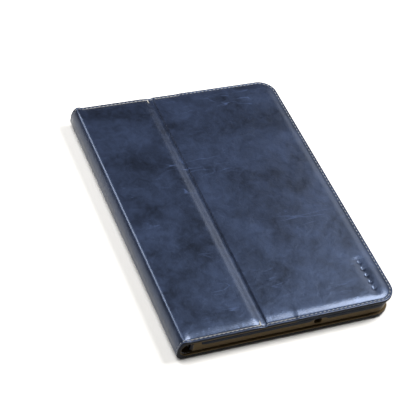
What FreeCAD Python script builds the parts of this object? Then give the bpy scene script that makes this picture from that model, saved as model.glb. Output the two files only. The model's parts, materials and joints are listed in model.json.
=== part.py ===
"""Leather tablet folio: a book-style cover with a soft spine, a stand crease and a framed tablet holder.

The closed folio lies on its back cover. X runs from the spine to the free edge, Y runs along the
spine and Z points up. The origin is the middle of the footprint, on the surface it lies on.
"""
import FreeCAD, Part
import Sketcher
import os

doc = FreeCAD.newDocument("tablet_folio")

# ---------------------------------------------------------------- driving dimensions, millimetres
DIMENSIONS = [
    ("cover_width", 152.0, "spine face to free edge of the front cover"),
    ("cover_length", 212.0, "length of the leather along the spine"),
    ("case_height", 17.0, "height of the closed folio"),
    ("corner_radius", 12.0, "round corners of both covers at the free edge"),
    ("leather", 1.4, "thickness of the outer leather with its glue"),
    ("board", 1.3, "thickness of the stiffening boards"),
    ("lining", 0.8, "thickness of the microfibre lining"),
    ("back_setback", 1.0, "how much shorter the back cover is at the free edge"),
    ("crease_offset", 59.0, "spine face to the stand crease"),
    ("crease_slit", 0.2, "leather stops this far from the crease line"),
    ("crease_relief", 3.0, "boards and linings stop this far from the crease"),
    ("hinge_slit", 0.9, "leather stops this far from a spine hinge line"),
    ("hinge_relief", 2.5, "boards and linings stop this far from a spine hinge line"),
    ("board_margin", 2.0, "leather turned past the boards' edges"),
    ("lining_margin", 0.8, "lining stops this far inside the leather's edge"),
    ("bay_low", -65.3, "spine side of the tablet bay"),
    ("bay_high", 70.9, "free side of the tablet bay"),
    ("bay_length", 202.4, "length of the tablet bay"),
    ("bay_depth", 7.7, "height of the tablet bay"),
    ("wall", 3.2, "thickness of the holder's side wall"),
    ("wall_radius", 11.0, "outer corner radius of the side wall and bezel"),
    ("bezel_lining", 0.4, "microfibre under the bezel"),
    ("bezel_board", 0.5, "stiffener inside the bezel"),
    ("bezel_leather", 0.8, "leather on the bezel"),
    ("bezel_low", -66.4, "spine edge of the bezel"),
    ("window_low", -57.5, "spine side of the screen window"),
    ("window_high", 63.5, "free side of the screen window"),
    ("window_length", 162.0, "length of the screen window"),
    ("button_radius", 6.0, "hole over the tablet's front button"),
    ("button_place", 90.8, "middle of the folio to that hole"),
    ("lens_radius", 2.5, "hole over the tablet's front lens"),
    ("camera_radius", 5.0, "hole through the back cover for the rear camera"),
    ("camera_across", 62.0, "camera hole, across the folio"),
    ("camera_along", -90.0, "camera hole, along the folio"),
    ("port_low", -16.0, "charging and speaker slot, spine side"),
    ("port_high", 22.0, "charging and speaker slot, free side"),
    ("slot_floor", 1.6, "side wall slots start this far above the lining"),
    ("slot_height", 4.6, "height of the side wall slots"),
    ("jack_place", 21.0, "headphone slot, across the folio"),
    ("jack_length", 6.0, "length of the headphone slot"),
    ("power_low", -34.0, "power button slot, start along the folio"),
    ("power_high", -22.0, "power button slot, end along the folio"),
    ("volume_low", -76.0, "volume button slot, start along the folio"),
    ("volume_high", -42.0, "volume button slot, end along the folio"),
    ("pocket_low", 4.0, "mouth of the document pocket"),
    ("pocket_lining", 0.3, "facing inside the document pocket"),
    ("pocket_leather", 0.8, "leather of the document pocket"),
    ("stitch_inset", 2.0, "leather edge to the stitch line"),
    ("stitch_width", 0.6, "width of the thread line"),
    ("stitch_depth", 0.3, "depth of the thread line"),
    ("flap_leather", 0.7, "leather of the closing flap"),
    ("flap_lining", 0.6, "lining of the closing flap"),
    ("flap_top", 11.0, "top of the closed flap"),
    ("flap_bottom", 5.2, "bottom of the closed flap"),
    ("patch", 0.35, "thickness of a hook or loop patch"),
    ("patch_gap", 0.1, "space between a hook patch and its loop patch"),
    ("magnet_length", 12.0, "length of a closure magnet"),
    ("magnet_width", 4.0, "width of a closure magnet"),
    ("magnet_place", 67.0, "magnets and keepers, across the folio"),
    ("magnet_pitch", 55.0, "spacing of the magnets along the folio"),
    ("mark_across", 63.0, "debossed ornament, across the folio"),
    ("mark_along", -84.0, "debossed ornament, middle along the folio"),
    ("mark_pitch", 5.6, "spacing of the ornament's lozenges"),
    ("mark_side", 2.6, "side of one lozenge"),
]

sizes = doc.addObject("Spreadsheet::Sheet", "Sizes")
for row, (alias, value, meaning) in enumerate(DIMENSIONS, start=1):
    sizes.set(f"A{row}", meaning)
    sizes.set(f"B{row}", str(value))
    sizes.setAlias(f"B{row}", alias)
doc.recompute()

# ---------------------------------------------------------------- places, as sheet expressions
FREE = "Sizes.cover_width / 2"
SPINE = "-Sizes.cover_width / 2"
END = "Sizes.cover_length / 2"
HINGE = f"{SPINE} + Sizes.leather / 2"
CREASE = f"{SPINE} + Sizes.crease_offset"
BACK_FREE = f"{FREE} - Sizes.back_setback"
WALL_FREE = "Sizes.bay_high + Sizes.wall"
WALL_END = "Sizes.bay_length / 2 + Sizes.wall"
WALL_LOW = "Sizes.bay_low + 2 * Sizes.patch + Sizes.patch_gap"
BAY_MIDDLE = "(Sizes.bay_low + Sizes.bay_high) / 2"

BACK_BOARD_Z = "Sizes.leather"
BACK_LINING_Z = f"{BACK_BOARD_Z} + Sizes.board"
BAY_Z = f"{BACK_LINING_Z} + Sizes.lining"
BEZEL_LINING_Z = f"{BAY_Z} + Sizes.bay_depth"
BEZEL_BOARD_Z = f"{BEZEL_LINING_Z} + Sizes.bezel_lining"
BEZEL_LEATHER_Z = f"{BEZEL_BOARD_Z} + Sizes.bezel_board"
BEZEL_TOP_Z = f"{BEZEL_LEATHER_Z} + Sizes.bezel_leather"
FRONT_LEATHER_Z = "Sizes.case_height - Sizes.leather"
FRONT_BOARD_Z = f"{FRONT_LEATHER_Z} - Sizes.board"
FRONT_LINING_Z = f"{FRONT_BOARD_Z} - Sizes.lining"

nodes = []


def node(piece, label):
    """Name a finished piece and put it on the list of sub-parts."""
    piece.Label = label
    nodes.append(piece)
    return piece


# ---------------------------------------------------------------- shared ways to make a piece
def number(expression):
    """The present value of a sheet expression."""
    return float(sizes.evalExpression(expression))


def both_ways(reach):
    """A span from minus to plus the same expression."""
    return (f"-({reach})", reach)


def flat_sketch(body, name, level="0"):
    """A sketch on the body's own XY plane, raised to a level."""
    plane = next(f for f in body.Origin.OriginFeatures if f.Role == "XY_Plane")
    sketch = body.newObject("Sketcher::SketchObject", name)
    sketch.AttachmentSupport = [(plane, "")]
    sketch.MapMode = "FlatFace"
    sketch.setExpression("AttachmentOffset.Base.z", level)
    return sketch


def bind(sketch, name, kind, geometry, point, expression):
    """A named distance from the sketch's origin, driven by the sheet."""
    value = number(expression)
    index = sketch.addConstraint(Sketcher.Constraint(kind, -1, 1, geometry, point, value))
    sketch.renameConstraint(index, name)
    sketch.setExpression(f"Constraints.{name}", expression)


def draw_rectangle(sketch, across, along):
    """A constrained rectangle: across and along are (low, high) expressions."""
    x_low, x_high = map(number, across)
    y_low, y_high = map(number, along)
    corners = [(x_low, y_low), (x_high, y_low), (x_high, y_high), (x_low, y_high)]
    points = [FreeCAD.Vector(x, y, 0) for x, y in corners]
    for side in range(4):
        sketch.addGeometry(Part.LineSegment(points[side], points[(side + 1) % 4]))
    for side, direction in enumerate(["Horizontal", "Vertical"] * 2):
        sketch.addConstraint(Sketcher.Constraint("Coincident", side, 2, (side + 1) % 4, 1))
        sketch.addConstraint(Sketcher.Constraint(direction, side))
    bind(sketch, "x_low", "DistanceX", 3, 1, across[0])
    bind(sketch, "x_high", "DistanceX", 1, 1, across[1])
    bind(sketch, "y_low", "DistanceY", 0, 1, along[0])
    bind(sketch, "y_high", "DistanceY", 2, 1, along[1])


def draw_circle(sketch, across, along, radius):
    """A constrained circle, all three values being expressions."""
    centre = FreeCAD.Vector(number(across), number(along), 0)
    sketch.addGeometry(Part.Circle(centre, FreeCAD.Vector(0, 0, 1), number(radius)))
    bind(sketch, "centre_x", "DistanceX", 0, 3, across)
    bind(sketch, "centre_y", "DistanceY", 0, 3, along)
    index = sketch.addConstraint(Sketcher.Constraint("Radius", 0, number(radius)))
    sketch.renameConstraint(index, "radius")
    sketch.setExpression("Constraints.radius", radius)


def slab(name, across, along, level, thickness, radius=None):
    """A flat padded body; a radius rounds its two corners on the free side."""
    body = doc.addObject("PartDesign::Body", name)
    sketch = flat_sketch(body, name + "_outline", level)
    draw_rectangle(sketch, across, along)
    pad = body.newObject("PartDesign::Pad", name + "_pad")
    pad.Profile = sketch
    pad.setExpression("Length", thickness)
    doc.recompute()
    if radius:
        middle = (number(across[0]) + number(across[1])) / 2
        height = number(thickness)
        corners = [
            f"Edge{index}" for index, edge in enumerate(pad.Shape.Edges, start=1)
            if abs(edge.BoundBox.ZLength - height) < 1e-6 and edge.CenterOfMass.x > middle
        ]
        fillet = body.newObject("PartDesign::Fillet", name + "_corners")
        fillet.Base = (pad, corners)
        fillet.setExpression("Radius", radius)
        doc.recompute()
    return body


def pierce(body, name, draw, *outline):
    """Pocket an outline right through a body, both ways from its XY plane."""
    before = body.Shape.Volume
    sketch = flat_sketch(body, name + "_outline")
    draw(sketch, *outline)
    pocket = body.newObject("PartDesign::Pocket", name)
    pocket.Profile = sketch
    pocket.Type = "ThroughAll"
    pocket.Midplane = True
    doc.recompute()
    if body.Shape.Volume > before - 1e-3:
        raise RuntimeError(f"{name} removes nothing")


def brick(name, across, along, upward):
    """A Part::Box whose three (low, high) spans are bound to the sheet."""
    box = doc.addObject("Part::Box", name)
    for side, axis, (low, high) in zip(("Length", "Width", "Height"), "xyz", (across, along, upward)):
        box.setExpression(f"Placement.Base.{axis}", low)
        box.setExpression(side, f"({high}) - ({low})")
    return box


def join(name, pieces):
    """Several pieces as one object."""
    fusion = doc.addObject("Part::MultiFuse", name)
    fusion.Shapes = pieces
    return fusion


def carve(name, base, tool):
    """A base with a tool's shape taken out of it."""
    cut = doc.addObject("Part::Cut", name)
    cut.Base = base
    cut.Tool = tool
    return cut


def stitch_band(name, across, reach, level, radius):
    """A U-shaped thread line along both ends and the free edge of a cover."""
    low, high = across
    depth = "Sizes.stitch_depth"
    outside = slab(name + "_outside", across, both_ways(reach), level, depth, radius)
    inner_span = (f"{low} - 1", f"{high} - Sizes.stitch_width")
    inner_reach = both_ways(f"{reach} - Sizes.stitch_width")
    inner_radius = f"{radius} - Sizes.stitch_width"
    inside = slab(name + "_inside", inner_span, inner_reach, level, depth, inner_radius)
    return carve(name, outside, inside)


def end_threads(name, across, upward):
    """A straight thread line near each end of a piece."""
    low, high = f"{STITCH_END} - Sizes.stitch_width", STITCH_END
    far = brick(name + "_far", across, (low, high), upward)
    near = brick(name + "_near", across, (f"-({high})", f"-({low})"), upward)
    return join(name, [far, near])


STITCH_END = f"{END} - Sizes.stitch_inset"
STITCH_RADIUS = "Sizes.corner_radius - Sizes.stitch_inset"
BOARD_END = both_ways(f"{END} - Sizes.board_margin")
BOARD_RADIUS = "Sizes.corner_radius - Sizes.board_margin"
LINING_END = both_ways(f"{END} - Sizes.lining_margin")
LINING_RADIUS = "Sizes.corner_radius - Sizes.lining_margin"


# ---------------------------------------------------------------- back cover
def make_back_cover():
    """Leather, board and lining, all pierced for the rear camera, and their stitching."""
    camera = ("Sizes.camera_across", "Sizes.camera_along", "Sizes.camera_radius")
    shell = slab("back_shell", (f"{HINGE} + Sizes.hinge_slit", BACK_FREE), both_ways(END), "0",
                 "Sizes.leather", "Sizes.corner_radius")
    pierce(shell, "back_shell_camera", draw_circle, *camera)
    start = f"{HINGE} + Sizes.hinge_relief"
    board = slab("back_board", (start, f"{BACK_FREE} - Sizes.board_margin"), BOARD_END, BACK_BOARD_Z,
                 "Sizes.board", BOARD_RADIUS)
    pierce(board, "back_board_camera", draw_circle, *camera)
    lining = slab("back_lining", (start, f"{BACK_FREE} - Sizes.lining_margin"), LINING_END,
                  BACK_LINING_Z, "Sizes.lining", LINING_RADIUS)
    pierce(lining, "back_lining_camera", draw_circle, *camera)
    stitched = (f"{HINGE} + Sizes.hinge_slit", f"{BACK_FREE} - Sizes.stitch_inset")
    thread = stitch_band("back_thread", stitched, STITCH_END, "0", STITCH_RADIUS)
    node(carve("back_cut", shell, thread), "back_cover_leather")
    node(board, "back_cover_board")
    node(lining, "back_cover_lining")
    node(thread, "back_cover_stitching")


# ---------------------------------------------------------------- spine
def make_spine():
    """The soft strip between the two covers, standing on edge when the folio is closed."""
    leather_z = (f"Sizes.leather / 2 + Sizes.hinge_slit",
                 f"Sizes.case_height - Sizes.leather / 2 - Sizes.hinge_slit")
    lining_z = (f"{BAY_Z} - 0.2", f"{FRONT_LINING_Z} + 0.2")
    inner = f"{SPINE} + Sizes.leather"
    strip = brick("spine_strip", (SPINE, inner), both_ways(END), leather_z)
    grooved_z = (f"{leather_z[0]} + 0.3", f"{leather_z[1]} - 0.3")
    thread = end_threads("spine_thread", (SPINE, f"{SPINE} + Sizes.stitch_depth"), grooved_z)
    node(carve("spine_cut", strip, thread), "spine_leather")
    lining = brick("spine_facing", (inner, f"{inner} + Sizes.lining"), LINING_END, lining_z)
    node(lining, "spine_lining")
    node(thread, "spine_stitching")


# ---------------------------------------------------------------- front cover
def make_front_inner():
    """The front cover's narrow panel, from the spine to the stand crease."""
    thread_z = ("Sizes.case_height - Sizes.stitch_depth", "Sizes.case_height")
    across = (f"{HINGE} + Sizes.hinge_slit", f"{CREASE} - Sizes.crease_slit")
    panel = slab("front_inner_panel", across, both_ways(END), FRONT_LEATHER_Z, "Sizes.leather")
    thread = end_threads("front_inner_thread", across, thread_z)
    node(carve("front_inner_cut", panel, thread), "front_inner_leather")
    stiff = (f"{HINGE} + Sizes.hinge_relief", f"{CREASE} - Sizes.crease_relief")
    board = slab("front_inner_stiffener", stiff, BOARD_END, FRONT_BOARD_Z, "Sizes.board")
    node(board, "front_inner_board")
    lining = slab("front_inner_facing", stiff, LINING_END, FRONT_LINING_Z, "Sizes.lining")
    node(lining, "front_inner_lining")
    node(thread, "front_inner_stitching")


def ornament(level):
    """A row of small lozenges, the shape of the deboss in the front leather."""
    lozenges = []
    for step in range(-2, 3):
        box = doc.addObject("Part::Box", f"lozenge_{step + 3}")
        for side in ("Length", "Width"):
            box.setExpression(side, "Sizes.mark_side")
        box.Height = 1.0
        box.setExpression("Placement.Base.x", "Sizes.mark_across")
        box.setExpression("Placement.Base.y",
                          f"Sizes.mark_along + {step} * Sizes.mark_pitch - Sizes.mark_side * sqrt(2) / 2")
        box.setExpression("Placement.Base.z", level)
        box.Placement.Rotation = FreeCAD.Rotation(FreeCAD.Vector(0, 0, 1), 45)
        lozenges.append(box)
    return join("ornament", lozenges)


def magnet_row(name, upward):
    """Three small flat bars in a row along the free edge."""
    half_width = "Sizes.magnet_width / 2"
    half_length = "Sizes.magnet_length / 2"
    across = (f"Sizes.magnet_place - {half_width}", f"Sizes.magnet_place + {half_width}")
    bars = []
    for step in (-1, 0, 1):
        middle = f"{step} * Sizes.magnet_pitch"
        along = (f"{middle} - {half_length}", f"{middle} + {half_length}")
        bars.append(brick(f"{name}_{step + 2}", across, along, upward))
    return join(name, bars)


def make_front_outer():
    """The front cover's wide panel, with its magnets and its document pocket."""
    across = (f"{CREASE} + Sizes.crease_slit", FREE)
    thread_level = "Sizes.case_height - Sizes.stitch_depth"
    stitched = (across[0], f"{FREE} - Sizes.stitch_inset")
    thread = stitch_band("front_outer_thread", stitched, STITCH_END, thread_level, STITCH_RADIUS)
    panel = slab("front_outer_panel", across, both_ways(END), FRONT_LEATHER_Z, "Sizes.leather",
                 "Sizes.corner_radius")
    grooved = carve("front_outer_grooved", panel, thread)
    node(carve("front_outer_cut", grooved, ornament(thread_level)), "front_outer_leather")

    stiff = (f"{CREASE} + Sizes.crease_relief", f"{FREE} - Sizes.board_margin")
    board = slab("front_outer_stiffener", stiff, BOARD_END, FRONT_BOARD_Z, "Sizes.board",
                 BOARD_RADIUS)
    magnets = magnet_row("magnets", (FRONT_BOARD_Z, f"{FRONT_BOARD_Z} + 1"))
    node(carve("front_outer_board_cut", board, magnets), "front_outer_board")
    node(magnets, "closure_magnets")

    lining = slab("front_outer_facing", (stiff[0], "Sizes.pocket_low"), LINING_END, FRONT_LINING_Z,
                  "Sizes.lining")
    node(lining, "front_outer_lining")
    node(thread, "front_outer_stitching")


def make_document_pocket():
    """A flat leather pocket sewn inside the wide front panel, open towards the crease."""
    across = ("Sizes.pocket_low", f"{FREE} - Sizes.lining_margin")
    facing_z = f"{FRONT_BOARD_Z} - Sizes.pocket_lining"
    leather_z = f"{facing_z} - Sizes.pocket_leather"
    facing_along = both_ways(f"{END} - Sizes.board_margin")
    facing = slab("pocket_facing", (f"{across[0]} + 0.2", f"{FREE} - Sizes.board_margin"),
                  facing_along, facing_z, "Sizes.pocket_lining", BOARD_RADIUS)
    node(facing, "pocket_lining")
    sheet = slab("pocket_sheet", across, LINING_END, leather_z, "Sizes.pocket_leather",
                 LINING_RADIUS)
    hem = brick("pocket_hem", ("Sizes.pocket_low + 1.6", "Sizes.pocket_low + 2.2"),
                both_ways(f"{END} - 4"), (leather_z, f"{leather_z} + Sizes.stitch_depth"))
    node(carve("pocket_cut", sheet, hem), "pocket_leather")
    node(hem, "pocket_stitching")


# ---------------------------------------------------------------- tablet holder
def make_side_wall():
    """The wall around three sides of the tablet, slotted for its ports and buttons."""
    wall_z = (BAY_Z, BEZEL_LINING_Z)
    outside = slab("wall_outside", (WALL_LOW, WALL_FREE), both_ways(WALL_END), BAY_Z,
                   "Sizes.bay_depth", "Sizes.wall_radius")
    inside = slab("wall_inside", (f"{WALL_LOW} - 1", "Sizes.bay_high"),
                  both_ways("Sizes.bay_length / 2"), BAY_Z, "Sizes.bay_depth",
                  "Sizes.wall_radius - Sizes.wall")
    floor = f"{wall_z[0]} + Sizes.slot_floor"
    slot_z = (floor, f"{floor} + Sizes.slot_height")
    far_side = ("Sizes.bay_length / 2 - 1", f"{WALL_END} + 1")
    near_side = (f"-({far_side[1]})", f"-({far_side[0]})")
    free_side = ("Sizes.bay_high - 1", f"{WALL_FREE} + 1")
    half_jack = "Sizes.jack_length / 2"
    slots = [
        brick("port_slot", ("Sizes.port_low", "Sizes.port_high"), far_side, slot_z),
        brick("jack_slot", (f"Sizes.jack_place - {half_jack}", f"Sizes.jack_place + {half_jack}"),
              near_side, slot_z),
        brick("power_slot", free_side, ("Sizes.power_low", "Sizes.power_high"), slot_z),
        brick("volume_slot", free_side, ("Sizes.volume_low", "Sizes.volume_high"), slot_z),
    ]
    ring = carve("wall_ring", outside, inside)
    node(carve("wall_cut", ring, join("wall_slots", slots)), "holder_side_wall")


def bezel_layer(name, inset, level, thickness):
    """One layer of the frame around the screen, open over the screen, button and lens."""
    body = slab(name, (f"Sizes.bezel_low + {inset}", f"{WALL_FREE} - {inset}"),
                both_ways(f"{WALL_END} - {inset}"), level, thickness, f"Sizes.wall_radius - {inset}")
    window = (f"Sizes.window_low - {inset}", f"Sizes.window_high + {inset}")
    window_along = both_ways(f"Sizes.window_length / 2 + {inset}")
    pierce(body, name + "_window", draw_rectangle, window, window_along)
    pierce(body, name + "_button", draw_circle, BAY_MIDDLE, "Sizes.button_place",
           f"Sizes.button_radius + {inset}")
    pierce(body, name + "_lens", draw_circle, BAY_MIDDLE, "-Sizes.button_place",
           f"Sizes.lens_radius + {inset}")
    return body


def make_bezel():
    """Leather, stiffener and microfibre of the frame, its stitching and its steel keepers."""
    leather = bezel_layer("bezel_face", "0", BEZEL_LEATHER_Z, "Sizes.bezel_leather")
    thread_level = f"{BEZEL_TOP_Z} - Sizes.stitch_depth"
    thread = stitch_band("bezel_thread", ("Sizes.bezel_low", f"{WALL_FREE} - Sizes.stitch_inset"),
                         f"{WALL_END} - Sizes.stitch_inset", thread_level,
                         "Sizes.wall_radius - Sizes.stitch_inset")
    node(carve("bezel_cut", leather, thread), "bezel_leather")
    node(thread, "bezel_stitching")
    stiffener = bezel_layer("bezel_core", "0.8", BEZEL_BOARD_Z, "Sizes.bezel_board")
    keepers = magnet_row("keepers", (BEZEL_BOARD_Z, BEZEL_LEATHER_Z))
    node(carve("bezel_core_cut", stiffener, keepers), "bezel_stiffener")
    node(keepers, "closure_keepers")
    node(bezel_layer("bezel_facing", "0.2", BEZEL_LINING_Z, "Sizes.bezel_lining"), "bezel_lining")


def make_closing_flap():
    """The small flap that closes the holder's open side, with its hook and loop patches."""
    flap_z = ("Sizes.flap_bottom", "Sizes.flap_top")
    facing_low = "Sizes.bay_low - Sizes.flap_lining"
    leather_low = f"{facing_low} - Sizes.flap_leather"
    facing = brick("flap_facing", (facing_low, "Sizes.bay_low"), both_ways(WALL_END), flap_z)
    strip = brick("flap_strip", (leather_low, facing_low), both_ways(WALL_END), flap_z)
    thread = brick("flap_thread", (leather_low, f"{leather_low} + Sizes.stitch_depth"),
                   both_ways(f"{WALL_END} - 2"), ("Sizes.flap_bottom + 1.2", "Sizes.flap_bottom + 1.8"))
    node(carve("flap_cut", strip, thread), "closing_flap_leather")
    node(facing, "closing_flap_lining")
    node(thread, "closing_flap_stitching")

    patch_z = ("Sizes.flap_bottom + 0.5", "Sizes.flap_top - 0.5")
    far = ("Sizes.bay_length / 2 + 0.2", f"{WALL_END} - 0.2")
    near = (f"-({far[1]})", f"-({far[0]})")
    hook_end = "Sizes.bay_low + Sizes.patch"
    hooks = ("Sizes.bay_low", hook_end)
    loops = (f"{hook_end} + Sizes.patch_gap", f"{hook_end} + Sizes.patch_gap + Sizes.patch")
    for label, across in (("flap_hook_patches", hooks), ("wall_loop_patches", loops)):
        pair = [brick(f"{label}_{side}", across, along, patch_z)
                for side, along in (("near", near), ("far", far))]
        node(join(label + "_pair", pair), label)


# ---------------------------------------------------------------- check and write
def check():
    """Stop with a plain message if any object failed or any sub-part is not a sound solid."""
    for thing in doc.Objects:
        if "Invalid" in thing.State or "Error" in thing.State:
            raise RuntimeError(f"{thing.Label} failed: {thing.State}")
    for piece in nodes:
        shape = piece.Shape
        if shape.isNull() or not shape.isValid() or not shape.Solids:
            raise RuntimeError(f"{piece.Label} is not a sound solid")


make_back_cover()
make_spine()
make_front_inner()
make_front_outer()
make_document_pocket()
make_side_wall()
make_bezel()
make_closing_flap()
doc.recompute()
check()

os.makedirs("parts", exist_ok=True)
for piece in nodes:
    piece.Shape.exportStep(f"parts/{piece.Label}.step")
    print(f"{piece.Label}: {len(piece.Shape.Solids)} solid(s), {piece.Shape.Volume:.1f} mm3")
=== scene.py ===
"""Leather tablet folio: its leather, lining, stitching, pocket and tablet holder, built round the CAD frame.

The outer leather is one hide wrapped from the back cover's free edge, round the soft spine, to the
front cover's free edge. A place on it is given in the flat: `along` the wrap, `across` it (the
folio's Y) and a depth into the leather. Everything is in metres.
"""

import json
import math
import random

import bmesh
import bpy
import numpy as np
from bpy.props import FloatProperty, FloatVectorProperty, IntProperty, PointerProperty
from mathutils import Quaternion, Vector
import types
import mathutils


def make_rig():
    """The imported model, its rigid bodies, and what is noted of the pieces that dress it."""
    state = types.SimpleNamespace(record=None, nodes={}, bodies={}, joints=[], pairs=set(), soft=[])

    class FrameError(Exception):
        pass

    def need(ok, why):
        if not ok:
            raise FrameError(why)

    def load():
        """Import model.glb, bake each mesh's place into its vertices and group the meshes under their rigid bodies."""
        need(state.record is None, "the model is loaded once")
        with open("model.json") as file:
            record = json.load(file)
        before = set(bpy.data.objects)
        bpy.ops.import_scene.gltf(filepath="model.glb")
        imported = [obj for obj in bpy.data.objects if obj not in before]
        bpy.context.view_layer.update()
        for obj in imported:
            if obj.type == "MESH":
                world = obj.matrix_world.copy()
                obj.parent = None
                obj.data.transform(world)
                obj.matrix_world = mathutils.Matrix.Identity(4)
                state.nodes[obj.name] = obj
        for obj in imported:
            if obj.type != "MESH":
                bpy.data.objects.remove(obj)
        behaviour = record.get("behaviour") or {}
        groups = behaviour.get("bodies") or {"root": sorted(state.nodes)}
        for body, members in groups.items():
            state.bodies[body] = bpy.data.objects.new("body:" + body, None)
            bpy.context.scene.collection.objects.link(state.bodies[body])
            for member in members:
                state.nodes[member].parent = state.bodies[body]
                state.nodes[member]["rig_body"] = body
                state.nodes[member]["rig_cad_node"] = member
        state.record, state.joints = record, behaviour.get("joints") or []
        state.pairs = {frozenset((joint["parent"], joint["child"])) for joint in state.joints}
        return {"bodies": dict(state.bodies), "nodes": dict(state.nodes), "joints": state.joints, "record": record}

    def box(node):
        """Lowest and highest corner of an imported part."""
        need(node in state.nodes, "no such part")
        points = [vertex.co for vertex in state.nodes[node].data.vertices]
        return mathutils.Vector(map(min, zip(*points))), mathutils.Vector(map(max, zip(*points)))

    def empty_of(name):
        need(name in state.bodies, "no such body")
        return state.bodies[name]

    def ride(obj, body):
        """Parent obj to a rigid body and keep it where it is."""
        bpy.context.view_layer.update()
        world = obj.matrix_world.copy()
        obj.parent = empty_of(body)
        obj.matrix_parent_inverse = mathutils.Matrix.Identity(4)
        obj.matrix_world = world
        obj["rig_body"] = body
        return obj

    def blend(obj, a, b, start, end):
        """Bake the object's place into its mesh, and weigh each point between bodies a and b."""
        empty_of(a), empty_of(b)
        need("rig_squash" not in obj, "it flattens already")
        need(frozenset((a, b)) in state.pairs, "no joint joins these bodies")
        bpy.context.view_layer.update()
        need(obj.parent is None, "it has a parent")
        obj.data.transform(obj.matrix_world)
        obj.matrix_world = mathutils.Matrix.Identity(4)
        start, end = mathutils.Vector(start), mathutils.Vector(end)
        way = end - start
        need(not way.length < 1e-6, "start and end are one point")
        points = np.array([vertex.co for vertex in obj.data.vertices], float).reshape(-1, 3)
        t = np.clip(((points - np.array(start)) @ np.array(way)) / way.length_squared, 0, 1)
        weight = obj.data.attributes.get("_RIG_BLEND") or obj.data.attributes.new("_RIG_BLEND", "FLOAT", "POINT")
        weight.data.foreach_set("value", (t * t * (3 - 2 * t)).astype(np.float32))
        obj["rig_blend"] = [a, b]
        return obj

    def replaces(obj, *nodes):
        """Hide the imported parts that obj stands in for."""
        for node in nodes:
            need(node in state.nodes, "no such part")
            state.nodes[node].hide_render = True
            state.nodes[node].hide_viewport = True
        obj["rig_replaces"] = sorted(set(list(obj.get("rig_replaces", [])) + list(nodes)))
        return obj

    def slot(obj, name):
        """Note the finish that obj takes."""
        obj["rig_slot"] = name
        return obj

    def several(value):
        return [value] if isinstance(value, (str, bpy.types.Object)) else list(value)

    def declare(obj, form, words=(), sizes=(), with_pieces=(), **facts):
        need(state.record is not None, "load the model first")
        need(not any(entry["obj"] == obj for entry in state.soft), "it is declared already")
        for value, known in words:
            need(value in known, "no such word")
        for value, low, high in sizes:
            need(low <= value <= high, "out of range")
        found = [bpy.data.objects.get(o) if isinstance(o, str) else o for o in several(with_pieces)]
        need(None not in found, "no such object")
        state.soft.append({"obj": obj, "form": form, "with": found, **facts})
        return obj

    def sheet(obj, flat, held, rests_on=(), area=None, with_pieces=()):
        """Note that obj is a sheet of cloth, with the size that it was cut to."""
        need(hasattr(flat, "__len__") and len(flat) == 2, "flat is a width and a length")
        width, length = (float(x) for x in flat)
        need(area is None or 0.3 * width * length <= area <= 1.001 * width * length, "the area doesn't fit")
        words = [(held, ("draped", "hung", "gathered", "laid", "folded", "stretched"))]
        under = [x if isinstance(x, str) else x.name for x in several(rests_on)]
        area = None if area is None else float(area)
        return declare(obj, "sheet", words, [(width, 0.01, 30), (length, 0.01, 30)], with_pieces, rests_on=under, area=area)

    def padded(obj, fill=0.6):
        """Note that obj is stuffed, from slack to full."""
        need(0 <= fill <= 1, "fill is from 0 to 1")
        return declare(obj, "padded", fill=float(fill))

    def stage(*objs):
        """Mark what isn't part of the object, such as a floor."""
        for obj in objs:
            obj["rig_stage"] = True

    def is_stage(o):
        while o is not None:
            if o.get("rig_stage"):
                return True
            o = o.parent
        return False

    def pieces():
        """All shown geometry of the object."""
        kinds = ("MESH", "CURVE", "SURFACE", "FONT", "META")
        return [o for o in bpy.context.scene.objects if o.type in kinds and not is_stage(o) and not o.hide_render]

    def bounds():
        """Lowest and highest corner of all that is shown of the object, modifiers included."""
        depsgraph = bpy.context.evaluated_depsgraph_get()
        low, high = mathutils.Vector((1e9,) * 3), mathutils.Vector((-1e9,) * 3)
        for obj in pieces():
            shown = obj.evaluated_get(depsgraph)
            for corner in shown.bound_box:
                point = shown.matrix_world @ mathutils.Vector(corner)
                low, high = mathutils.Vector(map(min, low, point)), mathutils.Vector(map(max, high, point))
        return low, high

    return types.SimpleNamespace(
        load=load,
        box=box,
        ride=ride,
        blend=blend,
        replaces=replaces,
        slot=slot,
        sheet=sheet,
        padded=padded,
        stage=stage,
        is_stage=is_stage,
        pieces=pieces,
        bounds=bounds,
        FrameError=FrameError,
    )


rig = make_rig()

bl_info = {
    "name": "Leather Tablet Folio",
    "version": (1, 0, 0),
    "blender": (4, 5, 0),
    "location": "View3D > Sidebar > Folio",
    "description": "Builds a closed leather tablet folio round its CAD frame",
    "category": "Add Mesh",
}

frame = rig.load()
CAD_LOW, CAD_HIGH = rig.bounds()
MM = 0.001

# ---------------------------------------------------------------- places read from the frame
JOINTS = {joint["name"]: Vector(joint["pos_m"]) for joint in frame["joints"]}
SPINE_X, FREE_X = CAD_LOW.x, CAD_HIGH.x
BACK_FREE_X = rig.box("back_cover_leather")[1].x
HALF_LENGTH = CAD_HIGH.y
CASE_TOP = CAD_HIGH.z
BOARD_LOW, BOARD_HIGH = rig.box("back_cover_board")
LINING_DEPTH = BOARD_HIGH.z
LEATHER_DEPTH = BOARD_LOW.z
BAY_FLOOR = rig.box("back_cover_lining")[1].z
FACING = BAY_FLOOR - LINING_DEPTH
CREASE_X = JOINTS["stand_crease_fold"].x
POCKET_LOW, POCKET_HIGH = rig.box("pocket_leather")
WALL_LOW, WALL_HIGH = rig.box("holder_side_wall")
BEZEL_LOW, BEZEL_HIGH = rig.box("bezel_leather")
FLAP_LOW, FLAP_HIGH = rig.box("closing_flap_leather")
FLAP_FACING_LOW, FLAP_FACING_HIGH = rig.box("closing_flap_lining")


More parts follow.
